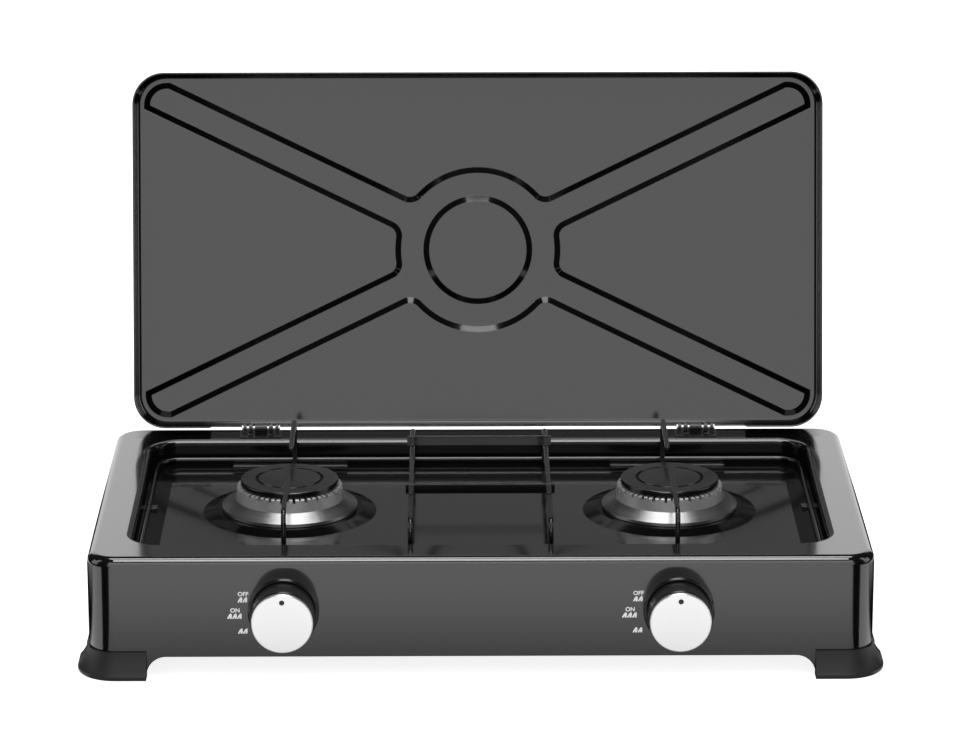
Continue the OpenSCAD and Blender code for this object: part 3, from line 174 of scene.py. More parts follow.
class HobStage(bpy.types.PropertyGroup):
    """Camera, light and floor"""

    lens: level("Lens", 154.44, "Focal length of the camera in millimetres")
    pitch: angle("Pitch", 16.39, "Angle that the camera looks down by")
    yaw: angle("Yaw", 0.52, "Angle that the camera turns to the right by")
    camera_at: lengths("Camera place", (-0.0175, -2.66497, 0.942), "Place of the camera")
    front_light_at: lengths("Front light", (0.0, -0.78, 2.35), "Place of the front light")
    front_light_size: lengths("Front light size", (0.95, 0.94), "Width and depth of the front light")
    front_light_power: level("Front light power", 16.0, "Power of the front light", "POWER")
    top_light_at: lengths("Top light", (0.0, 0.35, 2.35), "Place of the top light")
    top_light_size: lengths("Top light size", (1.4, 0.8), "Width and depth of the top light")
    top_light_power: level("Top light power", 14.0, "Power of the top light", "POWER")
    light_aim: lengths("Light aim", (0.0, 0.0, 0.1), "Point that both lights face")
    ambient: level("Ambient light", 0.8, "Strength of the white surroundings on matt surfaces")
    panel_half: angle("Front panel", 28, "Half the angle that the white panels in front and behind cover")
    side_from: angle("Side panel", 75, "Angle from front and back at which the white side panels begin")
    panel_top: angle("Panel top", 50, "Angle above the horizon at which the white panels end")
    rear_top: angle("Rear panel top", 30, "Angle above the horizon at which the panel behind ends")
    panel_rise: level("Panel rise", 1.4, "Brightness of the panels at their top, where one is white")
    rise_at: angle("Rise height", 30, "Angle above the horizon at the middle of that rise")
    rise_soft: angle("Rise length", 25, "Angle over which the panels' brightness rises")
    panel_soft: angle("Panel softness", 5, "Angle over which a panel's edge fades")
    gap_level: share("Gap level", 0.02, "Brightness of the dark gaps between panels and of the ceiling")
    floor_size: length("Floor size", 14.0, "Side of the square floor")
    floor_grey: share("Floor colour", 0.8, "Pale grey of the floor")
    floor_glow: share("Floor glow", 0.85, "Share of the floor's white that no shadow takes away")
    # Painted shade of the floor that only reflections show: dark wedges off the body's corners and a painted
    # shadow near its ends and sides
    floor_half: angle("Front floor", 20, "Half the angle of white floor before a corner of the body")
    floor_side: angle("Side floor", 55, "Angle from front and back at which white floor at a corner begins")
    end_shadow: length("End shadow", 0.04, "Reach of the mirrored shadow before and behind the body")
    end_shadow_soft: length("End shadow softness", 0.32, "Length over which that shadow fades")
    side_shadow: length("Side shadow", 0.195, "Reach of the mirrored shadow beside the body")
    side_shadow_soft: length("Side shadow softness", 0.21, "Length over which that shadow fades")
    corner_clear: length("Corner clearance", 0.05, "Length of the sides by each corner without side shadow")
    corner_soft: length("Corner softness", 0.03, "Length over which the side shadow begins")
    side_floor: length("Side floor width", 0.34, "Width of the white floor beside the body")
    side_floor_soft: length("Side floor softness", 0.068, "Length over which that floor's white fades")


# Nodes of the materials

MATH = "ShaderNodeMath"
VECTOR_MATH = "ShaderNodeVectorMath"
# Values of a noise between which a colour or a grey changes
NOISE_RANGE = (0.3, 0.7)
EDGE_SAMPLES = 6


def connect(tree, socket, value):
    """Links an output to a socket, or sets the socket to a constant"""
    if isinstance(value, bpy.types.NodeSocket):
        tree.links.new(value, socket)
    else:
        socket.default_value = value


def feed(tree, made, **inputs):
    """Connects values to a node's inputs by name, with an underscore for each space in a name"""
    for key, value in inputs.items():
        connect(tree, made.inputs[key.replace("_", " ")], value)
    return made


def node(tree, kind, **inputs):
    return feed(tree, tree.nodes.new(kind), **inputs)


def calc(tree, operation, *values, kind=MATH):
    """Result of a mathematical operation on outputs or constants"""
    made = tree.nodes.new(kind)
    made.operation = operation
    for socket, value in zip(made.inputs, values):
        connect(tree, socket, value)
    return made.outputs["Value"]


def chained(tree, operation, values):
    result, *others = values
    for value in others:
        result = calc(tree, operation, result, value)
    return result


def all_of(tree, *masks):
    """One where every mask is one"""
    return chained(tree, "MULTIPLY", masks)


def any_of(tree, *masks):
    """One where any mask is one"""
    return chained(tree, "MAXIMUM", masks)


def step(tree, source, start, end, before=0.0, after=1.0, way="LINEAR"):
    """Change from one value to another between two places"""
    made = node(
        tree, "ShaderNodeMapRange", Value=source, From_Min=start, From_Max=end, To_Min=before, To_Max=after
    )
    made.interpolation_type = way
    return made.outputs["Result"]


def fade(tree, source, at, soft, before=0.0, after=1.0):
    """Soft change from one value to another over a width round one place"""
    return step(tree, source, at - soft / 2, at + soft / 2, before, after, "SMOOTHSTEP")


def split(tree, vector):
    return node(tree, "ShaderNodeSeparateXYZ", Vector=vector).outputs


def coordinates(tree, kind="Object"):
    return tree.nodes.new("ShaderNodeTexCoord").outputs[kind]


def axis_distance(tree, axes, axis, centre):
    """Distance from an axis through a point on the right, or from its mirror image on the left"""
    first, second = (name for name in "XYZ" if name != axis)
    mirrored = calc(tree, "ABSOLUTE", axes[first])
    across = node(
        tree, "ShaderNodeCombineXYZ",
        X=calc(tree, "SUBTRACT", mirrored, centre["XYZ".index(first)]),
        Y=calc(tree, "SUBTRACT", axes[second], centre["XYZ".index(second)]),
    )
    return calc(tree, "LENGTH", across.outputs["Vector"], kind=VECTOR_MATH)


def past_edges(tree, axes, axis, cad_node):
    """Distance beyond the nearer edge of a CAD node's box along an axis, negative inside"""
    low, high = (corner["XYZ".index(axis)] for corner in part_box(cad_node))
    from_middle = calc(tree, "ABSOLUTE", calc(tree, "SUBTRACT", axes[axis], (low + high) / 2))
    return calc(tree, "SUBTRACT", from_middle, (high - low) / 2)


def noise(tree, place, scale, detail=3.0, roughness=0.5):
    made = node(
        tree, "ShaderNodeTexNoise", Vector=place, Scale=scale, Detail=detail, Roughness=roughness
    )
    return made.outputs["Fac"]


def varied(tree, factor, value, low, high):
    """A colour or a grey that a noise varies between two multiples of itself"""
    channels = value if isinstance(value, tuple) else (value, value, value)
    made = node(tree, "ShaderNodeValToRGB", Fac=factor)
    for element, position, multiple in zip(made.color_ramp.elements, NOISE_RANGE, (low, high)):
        element.position = position
        element.color = (*(min(1.0, channel * multiple) for channel in channels), 1.0)
    return made.outputs["Color"]


def grain(tree, height, strength, depth, edge_round=0.0):
    """Normal of a grained surface, over edges that look rounded by the given radius"""
    made = node(tree, "ShaderNodeBump", Height=height, Strength=strength, Distance=depth)
    if edge_round > 0.0:
        rounded = node(tree, "ShaderNodeBevel", Radius=edge_round)
        rounded.samples = EDGE_SAMPLES
        connect(tree, made.inputs["Normal"], rounded.outputs["Normal"])
    return made.outputs["Normal"]


# Materials

# Quarter turn that lays a highlight across the brushed lines
ACROSS_LINES = 0.25


def new_material(name):
    mat = bpy.data.materials.new(name)
    mat.use_nodes = True
    tree = mat.node_tree
    shader = tree.nodes["Principled BSDF"]
    return mat, tree, shader


def enamel_material(name, base, rough, coat_rough, peel=0.006, coat=1.0, edge_round=0.0):
    """Vitreous enamel: even black glass with a faint orange peel and a little change of gloss"""
    mat, tree, shader = new_material(name)
    place = coordinates(tree)
    cloud = noise(tree, place, scale=9.0, detail=4.0)
    sheen = noise(tree, place, scale=26.0)
    ripple = noise(tree, place, scale=420.0, detail=2.0)
    feed(
        tree, shader,
        Base_Color=varied(tree, cloud, base, low=0.94, high=1.06),
        Roughness=varied(tree, sheen, rough, low=0.85, high=1.15),
        IOR=1.5,
        Coat_Weight=coat,
        Coat_Roughness=coat_rough,
        Coat_IOR=1.65,
        Normal=grain(tree, ripple, peel, depth=0.4 * MM, edge_round=edge_round),
    )
    return mat


def plastic_material(name, base, rough, grain_scale, strength):
    """Moulded plastic with a fine spark-eroded grain"""
    mat, tree, shader = new_material(name)
    place = coordinates(tree)
    cloud = noise(tree, place, scale=40.0)
    speckle = noise(tree, place, grain_scale, detail=2.0, roughness=0.6)
    feed(
        tree, shader,
        Base_Color=varied(tree, cloud, base, low=0.85, high=1.2),
        Roughness=varied(tree, speckle, rough, low=0.85, high=1.15),
        IOR=1.49,
        Normal=grain(tree, speckle, strength, depth=0.2 * MM),
    )
    return mat


def metal_material(name, base, rough, grain_scale, strength):
    """Cast, plated or machined metal"""
    mat, tree, shader = new_material(name)
    grains = noise(tree, coordinates(tree), grain_scale, detail=4.0, roughness=0.6)
    feed(
        tree, shader,
        Base_Color=varied(tree, grains, base, low=0.88, high=1.12),
        Roughness=varied(tree, grains, rough, low=0.8, high=1.2),
        Metallic=1.0,
        Normal=grain(tree, grains, strength, depth=0.2 * MM),
    )
    return mat


def turned_material(name, base, rough, axis, centre, line_scale, strength, spread, stretch=0.0):
    """Metal brushed in circles round an axis, on the right and in its mirror image on the left"""
    mat, tree, shader = new_material(name)
    axes = split(tree, coordinates(tree))
    rings = node(tree, "ShaderNodeCombineXYZ", X=axis_distance(tree, axes, axis, centre), Y=axes[axis])
    lines = noise(tree, rings.outputs["Vector"], line_scale, detail=5.0, roughness=0.7)
    along = tree.nodes.new("ShaderNodeTangent")
    along.direction_type = "RADIAL"
    along.axis = axis
    feed(
        tree, shader,
        Base_Color=varied(tree, lines, base, low=1 - spread, high=1 + spread),
        Roughness=varied(tree, lines, rough, low=0.75, high=1.25),
        Metallic=1.0,
        Anisotropic=stretch,
        Anisotropic_Rotation=ACROSS_LINES,
        Tangent=along.outputs["Tangent"],
        Normal=grain(tree, lines, strength, depth=0.3 * MM),
    )
    return mat


def print_material(name, base):
    """Screen print: matt ink with a slightly uneven film"""
    mat, tree, shader = new_material(name)
    ink = noise(tree, coordinates(tree), scale=900.0, detail=2.0)
    feed(tree, shader, Base_Color=varied(tree, ink, base, low=0.94, high=1.0), Roughness=0.55)
    return mat


def dress(mat, *names):
    """Gives CAD nodes a material"""
    for name in names:
        slots = NODES[name].data.materials
        slots.clear()
        slots.append(mat)


def pair(*stems):
    return [f"{stem}_{side}" for stem in stems for side in SIDES]


# Painted shade: places where the enamel loses gloss so that it looks dark

# Angles to the flat between which a slope counts for more and more
GENTLE_SLOPE = (math.radians(4), math.radians(7))
BAND_SLOPE = (math.radians(12), math.radians(24))
WALL_SLOPE = (math.radians(42), math.radians(60))
GROOVE_SOFT = 0.3 * MM
RIM_SOFT = 2 * MM
LID_SHADE_SOFT = 12 * MM


def steepness(tree, normal, flat_facing, slope):
    """None where a surface lies flatter than the slope's first angle, and one beyond its second"""
    flattest, steepest = slope
    facing = calc(tree, "ABSOLUTE", calc(tree, "DOT_PRODUCT", normal, flat_facing, kind=VECTOR_MATH))
    return step(tree, facing, math.cos(steepest), math.cos(flattest), 1.0, 0.0)


def body_steepness(tree, slope):
    normal = tree.nodes.new("ShaderNodeNewGeometry").outputs["True Normal"]
    return steepness(tree, normal, UPWARD, slope)


def shade_ring_mask(tree, radius, half_width):
    """One in a ring round the burners' axes, where shade is painted on the dishes and the caps' grooves"""
    reach = axis_distance(tree, split(tree, coordinates(tree)), "Z", BURNER)
    off_ring = calc(tree, "ABSOLUTE", calc(tree, "SUBTRACT", reach, radius))
    return step(tree, off_ring, half_width - GROOVE_SOFT, half_width, 1.0, 0.0)


def well_shade_mask(tree, inset):
    """One on the well's walls and on the sloping band below its ring wire, farther in than the skirts, where
    shade is painted
    """
    axes = split(tree, coordinates(tree))
    ring_z = middle("pan_ring").z
    below_ring = step(tree, axes["Z"], ring_z, ring_z + MM, 1.0, 0.0)
    band = all_of(tree, body_steepness(tree, GENTLE_SLOPE), below_ring)
    inside = [
        step(tree, past_edges(tree, axes, axis, "body_shell"), -inset - MM, -inset, 1.0, 0.0) for axis in "XY"
    ]
    return all_of(tree, any_of(tree, body_steepness(tree, WALL_SLOPE), band), *inside)


def lid_shade_mask(tree):
    """One on the flat rim from the hinge plates to the rear, as wide as the lid, where the lid's shade is
    painted
    """
    axes = split(tree, coordinates(tree))
    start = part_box("hinge_base_left")[0].y
    flat = step(tree, body_steepness(tree, WALL_SLOPE), 0.0, 1.0, 1.0, 0.0)
    behind = step(tree, axes["Y"], start - RIM_SOFT, start + RIM_SOFT)
    beside_lid = past_edges(tree, axes, "X", "lid_panel")
    return all_of(tree, flat, behind, step(tree, beside_lid, -LID_SHADE_SOFT, 0.0, 1.0, 0.0))


def band_shade_mask(tree, end_length, rim, least):
    """The least value on the walls of the lid's bands, rising to one at the bands' ends inside the rim; it
    sets how much painted shade darkens the walls
    """
    wall = steepness(tree, coordinates(tree, "Normal"), LID_FACING, BAND_SLOPE)
    past_lid = past_edges(tree, split(tree, coordinates(tree)), "X", "lid_panel")
    by_ends = step(tree, past_lid, -rim - end_length, -rim - end_length / 2, least)
    return all_of(tree, wall, by_ends, step(tree, past_lid, -rim - MM, -rim, 1.0, 0.0))


def paint_shade(mat, share_lost, *masks):
    """Paints shade: takes gloss from a material where any of the masks is one, so that those places look dark
    """
    tree = mat.node_tree
    shader = tree.nodes["Principled BSDF"]
    mask = any_of(tree, *masks)
    for key in ("Coat Weight", "Specular IOR Level"):
        full = shader.inputs[key].default_value
        connect(tree, shader.inputs[key], step(tree, mask, 0.0, 1.0, full, full * (1 - share_lost)))


# Meshes of the added pieces

# Points up each side of a flame, and the power that rounds its sides
FLAME_STEPS = 10
FLAME_ROUND = 1.5
# Shares of a flame's height: its width, the lean of its tip and the rise of its base notch
FLAME_WIDTH = 0.78
FLAME_LEAN = 0.3
NOTCH_RISE = 0.3
# Shares of a flame's half width: half the width of its base notch and the lean of that notch
NOTCH_HALF = 0.3
NOTCH_LEAN = 0.05


def add_piece(name, body, mat, mesh):
    piece = bpy.data.objects.new(name, mesh)
    bpy.context.scene.collection.objects.link(piece)
    mesh.materials.append(mat)
    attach(piece, body)
    return piece


def mesh_from(bm, name, smooth=False):
    bmesh.ops.recalc_face_normals(bm, faces=bm.faces)
    mesh = bpy.data.meshes.new(name)
    bm.to_mesh(mesh)
    bm.free()
    for face in mesh.polygons:
        face.use_smooth = smooth
    return mesh


def join_rows(bm, low, high):
    """Adds the faces between two closed rows of as many points"""
    for i, j in zip(range(len(low)), (*range(1, len(low)), 0)):
        bm.faces.new((low[i], low[j], high[j], high[i]))


def on_panel(at_x, at_z):
    """Way from a mark's own X, Z and height above the front panel to the frame"""
    return lambda x, z, height: (at_x + x, PANEL_FRONT - height, at_z + z)


def flame_outline(height):
    """Flame round its middle: a tip that leans to the right, bulging sides and a notch in the base"""
    half = FLAME_WIDTH * height / 2
    lean = FLAME_LEAN * height
    base = -height / 2
    left, right = [], []
    for i in range(FLAME_STEPS):
        rise = i / FLAME_STEPS
        bulge = half * math.sqrt(1 - rise ** FLAME_ROUND)
        left.append((lean * rise - bulge, base + height * rise))
        right.append((lean * rise + bulge, base + height * rise))
    tip = (lean, base + height)
    notch_tip = (half * NOTCH_LEAN, base + height * NOTCH_RISE)
    return [*left, tip, *right[::-1], (half * NOTCH_HALF, base), notch_tip, (-half * NOTCH_HALF, base)]


def add_flames(bm, count, marks, at_x, at_z):
    """Adds a row of flames as thin closed films on the front panel"""
    for i in range(count):
        shift = (i - (count - 1) / 2) * marks.flame_pitch - marks.flame_left
        place = on_panel(at_x + shift, at_z)
        outline = flame_outline(marks.flame_h)
        printed, back = ([bm.verts.new(place(x, z, t)) for x, z in outline] for t in (marks.print_t, 0.0))
        bm.faces.new(printed)
        bm.faces.new(back[::-1])
        join_rows(bm, back, printed)


def word_mesh(word, height, bold):
    """Outlines of a word as a filled mesh, centred on its own middle, with letters of the given height"""
    curve = bpy.data.curves.new("word", "FONT")
    curve.body = word
    curve.align_x = "CENTER"
    curve.resolution_u = 6
    curve.offset = bold
    holder = bpy.data.objects.new("word", curve)
    bpy.context.scene.collection.objects.link(holder)
    bpy.context.view_layer.update()
    mesh = bpy.data.meshes.new_from_object(holder.evaluated_get(bpy.context.evaluated_depsgraph_get()))
    bpy.data.objects.remove(holder)
    bpy.data.curves.remove(curve)
    low, high = (pick(v.co.y for v in mesh.vertices) for pick in (min, max))
    to_middle = Matrix.Translation((0.0, -(low + high) / 2, 0.0))
    mesh.transform(Matrix.Scale(height / (high - low), 4) @ to_middle)
    return mesh


def add_word(bm, word, marks, at_x, at_z):
    """Adds a word as a thin closed film on the front panel"""
    place = on_panel(at_x, at_z)
    mesh = word_mesh(word, marks.letter_h, marks.letter_bold)
    made = bmesh.new()
    made.from_mesh(mesh)
    bmesh.ops.remove_doubles(made, verts=made.verts, dist=1e-7)
    back = set(made.verts)
    bmesh.ops.extrude_face_region(made, geom=made.faces[:], use_keep_orig=True)
    for vert in made.verts:
        vert.co = place(vert.co.x, vert.co.y, 0.0 if vert in back else marks.print_t)
    made.to_mesh(mesh)
    made.free()
    bm.from_mesh(mesh)
    bpy.data.meshes.remove(mesh)


# Operators, one for each group of pieces and one for the stage


class HobPiece:
    """What the operators share"""

    bl_options = {"REGISTER", "UNDO"}


class OBJECT_OT_hob_body(HobPiece, bpy.types.Operator):
    """Enamel of the pressed body, the lid and the hinges, with painted shade where the dishes, the well's
    walls, the rear rim and the lid's band walls lose gloss
    """

    bl_idname = "object.hob_body"
    bl_label = "Body and lid"

    # Roughness of the enamel's clear coat as a share of the enamel's own
    COAT_SHARE = 0.6

    def execute(self, context):
        finishes = context.scene.hob_finishes
        gloss = {
            "base": tuple(finishes.enamel),
            "rough": finishes.enamel_gloss,
            "coat_rough": finishes.enamel_gloss * self.COAT_SHARE,
            "edge_round": finishes.enamel_round,
        }
        body = enamel_material("body_enamel", **gloss)
        tree = body.node_tree
        # Painted shade: the dishes, the well's inner walls and the rim under the lid lose gloss so that they
        # look dark
        dishes = shade_ring_mask(tree, 0.0, finishes.dish_r)
        walls = well_shade_mask(tree, finishes.skirt_t)
        paint_shade(body, finishes.painted_shade, dishes, walls, lid_shade_mask(tree))
        dress(body, "body_shell")
        lid = enamel_material("lid_enamel", **gloss)
        # Painted shade on the walls of the lid's bands
        least = finishes.wall_painted_shade / finishes.band_painted_shade
        bands = band_shade_mask(lid.node_tree, finishes.band_end, finishes.lid_rim, least)
        paint_shade(lid, finishes.band_painted_shade, bands)
        dress(lid, "lid_panel")
        hinge = enamel_material("hinge_enamel", tuple(finishes.enamel), rough=0.3, coat_rough=0.2, coat=0.3)
        dress(hinge, *pair("hinge_base", "hinge_leaf"))
        return {"FINISHED"}


class OBJECT_OT_hob_feet(HobPiece, bpy.types.Operator):
    """Grained plastic of the four feet"""

    bl_idname = "object.hob_feet"
    bl_label = "Feet"

    def execute(self, context):
        base = tuple(context.scene.hob_finishes.foot)
        plastic = plastic_material("foot_plastic", base, rough=0.5, grain_scale=1400.0, strength=0.2)
        dress(plastic, *pair("foot_front", "foot_rear"))
        return {"FINISHED"}


class OBJECT_OT_hob_pan_support(HobPiece, bpy.types.Operator):
    """Enamelled wires and strips of the pan support, and the rivets of the hinge plates"""

    bl_idname = "object.hob_pan_support"
    bl_label = "Pan support"

    def execute(self, context):
        base = tuple(context.scene.hob_finishes.wire)
        wires = enamel_material(
            "wire_enamel", base, rough=0.16, coat_rough=0.08, peel=0.03, coat=0.5, edge_round=0.5 * MM
        )
        dress(wires, "pan_ring", "hinge_rivets", *pair("finger_front", "finger_rear", "centre_wire"))
        strips = enamel_material(
            "strip_enamel", base, rough=0.12, coat_rough=0.06, peel=0.01, edge_round=0.8 * MM
        )
        dress(strips, "cross_strip_front", "cross_strip_rear")
        return {"FINISHED"}


class OBJECT_OT_hob_welds(HobPiece, bpy.types.Operator):
    """Enamelled weld beads where legs meet the ring wire and strips meet the centre wires"""

    bl_idname = "object.hob_welds"
    bl_label = "Welds"

    # Shares of the wire: a bead's radius, and how far a leg may end from the place of its bead
    RADIUS = 0.5
    NEAR = 0.25
    # A bead's stretch along the axes, and the waves of its lumps
    STRETCH = Vector((1.1, 0.75, 0.8))
    LUMP = 0.1
    WAVE_X = 2300.0
    WAVE_Z = 1900.0
    WAVE_SHIFT = 900.0

    def execute(self, context):
        ring_low, ring_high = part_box("pan_ring")
        wire = ring_high.z - ring_low.z
        near = wire * self.NEAR
        ring_z = middle("pan_ring").z
        bm = bmesh.new()
        for leg in pair("finger_front", "finger_rear", "centre_wire"):
            low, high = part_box(leg)
            for end in (ring_low.y + wire, ring_high.y - wire):
                if low.y - near < end < high.y + near:
                    self.bead(bm, (middle(leg).x, end, ring_z), wire)
        for strip in ("cross_strip_front", "cross_strip_rear"):
            for wire_name in pair("centre_wire"):
                self.bead(bm, (middle(wire_name).x, middle(strip).y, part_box(strip)[0].z), wire)
        mesh = mesh_from(bm, "weld_beads", smooth=True)
        add_piece("weld_beads", "hob", bpy.data.materials["wire_enamel"], mesh)
        return {"FINISHED"}

    def bead(self, bm, at, wire):
        """A small lump across the seam, uneven as melted metal is"""
        made = bmesh.ops.create_icosphere(bm, subdivisions=3, radius=wire * self.RADIUS)
        for vert in made["verts"]:
            across = math.sin(self.WAVE_X * vert.co.x + self.WAVE_SHIFT * at[0])
            lump = 1.0 + self.LUMP * across * math.cos(self.WAVE_Z * vert.co.z)
            vert.co = Vector(at) + vert.co * self.STRETCH * lump


class OBJECT_OT_hob_burners(HobPiece, bpy.types.Operator):
    """Caps, crowns, trim rings and cups of the burners, with painted shade in the caps' grooves"""

    bl_idname = "object.hob_burners"
    bl_label = "Burners"

    def execute(self, context):
        finishes = context.scene.hob_finishes
        cap = enamel_material(
            "cap_enamel", tuple(finishes.cap), rough=0.24, coat_rough=0.16, peel=0.02, coat=0.7
        )
        # Painted shade in the caps' groove, which loses gloss so that it looks dark
        paint_shade(cap, finishes.painted_shade, shade_ring_mask(cap.node_tree, finishes.groove_r, finishes.groove_half))
        dress(cap, *pair("burner_cap"))
        cast = metal_material(
            "cast_aluminium", tuple(finishes.aluminium), rough=0.55, grain_scale=900.0, strength=0.25
        )
        dress(cast, *pair("burner_crown", "burner_cup"))
        trim = turned_material(
            "brushed_trim", tuple(finishes.steel), rough=0.36, axis="Z", centre=BURNER,
            line_scale=900.0, strength=0.12, spread=0.15, stretch=0.7,
        )
        dress(trim, *pair("burner_trim"))
        return {"FINISHED"}


class OBJECT_OT_hob_knobs(HobPiece, bpy.types.Operator):
    """Knob barrels, bezels and bright faces, with the dark fill of their dots"""

    bl_idname = "object.hob_knobs"
    bl_label = "Knobs"

    # Points round the fill, and its thickness at shares of its radius, as shares of that at the edge
    DOT_STEPS = 32
    DOT_DISH = {1.0: 1.0, 0.7: 0.6, 0.35: 0.4}

    def execute(self, context):
        finishes = context.scene.hob_finishes
        barrel = plastic_material(
            "knob_plastic", tuple(finishes.knob), rough=0.22, grain_scale=700.0, strength=0.05
        )
        dress(barrel, *pair("knob", "knob_bezel"))
        face = turned_material(
            "spun_face", tuple(finishes.face), rough=0.34, axis="Y", centre=middle("knob_right"),
            line_scale=1500.0, strength=0.01, spread=0.01,
        )
        dress(face, *pair("knob_face"))
        for side in SIDES:
            self.fill_dot(side, barrel, context.scene.hob_marks)
        return {"FINISHED"}

    def fill_dot(self, side, mat, marks):
        """Dark paint in the dot of a knob face, slightly dished"""
        axis = middle(f"knob_{side}")
        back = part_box(f"knob_face_{side}")[0].y + marks.dot_floor
        bm = bmesh.new()

        def row(reach, thickness):
            points = []
            for i in range(self.DOT_STEPS):
                turn = 2 * math.pi * i / self.DOT_STEPS
                x = axis.x + marks.dot_r * reach * math.cos(turn)
                z = axis.z + marks.dot_up + marks.dot_r * reach * math.sin(turn)
                points.append(bm.verts.new((x, back - thickness, z)))
            return points

        rows = [row(1.0, 0.0)]
        for reach, thickness in self.DOT_DISH.items():
            rows.append(row(reach, thickness * marks.dot_fill))
            join_rows(bm, rows[-2], rows[-1])
        bm.faces.new(rows[0])
        bm.faces.new(rows[-1])
        mesh = mesh_from(bm, f"knob_dot_{side}")
        add_piece(f"knob_dot_{side}", f"knob_{side}_set", mat, mesh)


class OBJECT_OT_hob_gas_parts(HobPiece, bpy.types.Operator):
    """Brass and plated steel of taps, springs, rail, inlet and fasteners"""

    bl_idname = "object.hob_gas_parts"
    bl_label = "Gas parts and fasteners"

    def execute(self, context):
        finishes = context.scene.hob_finishes
        brass = metal_material(
            "machined_brass", tuple(finishes.brass), rough=0.3, grain_scale=600.0, strength=0.06
        )
        dress(brass, "hose_nozzle", "inlet_nut", *pair("tap_body", "tap_bonnet", "tap_plug", "jet"))
        plated = metal_material(
            "plated_steel", tuple(finishes.plated), rough=0.34, grain_scale=500.0, strength=0.06
        )
        dress(plated, "gas_rail", "clamp_screws", "burner_screws", "leaf_rivets")
        dress(plated, *pair("rail_bracket", "tap_clamp", "tap_spring", "spindle", "hinge_pin"))
        for side in SIDES:
            self.wind_spring(side, plated)
        return {"FINISHED"}

    def wind_spring(self, side, mat):
        """Return spring of a tap: a copy of the coil that rides on the plug, in place of the hidden CAD coil
        """
        coil, push = f"tap_spring_{side}", f"knob_{side}_push"
        mesh = NODES[coil].data.copy()
        mesh.materials.clear()
        piece = add_piece(f"return_spring_{side}", f"plug_{side}", mat, mesh)
        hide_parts(coil)
        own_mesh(piece)


class OBJECT_OT_hob_marks(HobPiece, bpy.types.Operator):
    """Printed words and flame marks beside the knobs"""

    bl_idname = "object.hob_marks"
    bl_label = "Printed marks"

    def execute(self, context):
        marks = context.scene.hob_marks
        ink = print_material("white_print", tuple(context.scene.hob_finishes.print_white))
        for side in SIDES:
            axis = middle(f"knob_{side}")
            off_x, off_z = axis.x - marks.off_left, axis.z + marks.off_up
            on_x, on_z = axis.x - marks.on_left, axis.z - marks.on_down
            bm = bmesh.new()
            add_word(bm, "OFF", marks, off_x, off_z)
            add_flames(bm, 2, marks, off_x, off_z - marks.row_gap)
            add_word(bm, "ON", marks, on_x, on_z)
            add_flames(bm, 3, marks, on_x, on_z - marks.row_gap)
            add_flames(bm, 2, marks, off_x, axis.z - marks.low_down)
            mesh = mesh_from(bm, f"panel_marks_{side}")
            add_piece(f"panel_marks_{side}", "hob", ink, mesh)
        return {"FINISHED"}


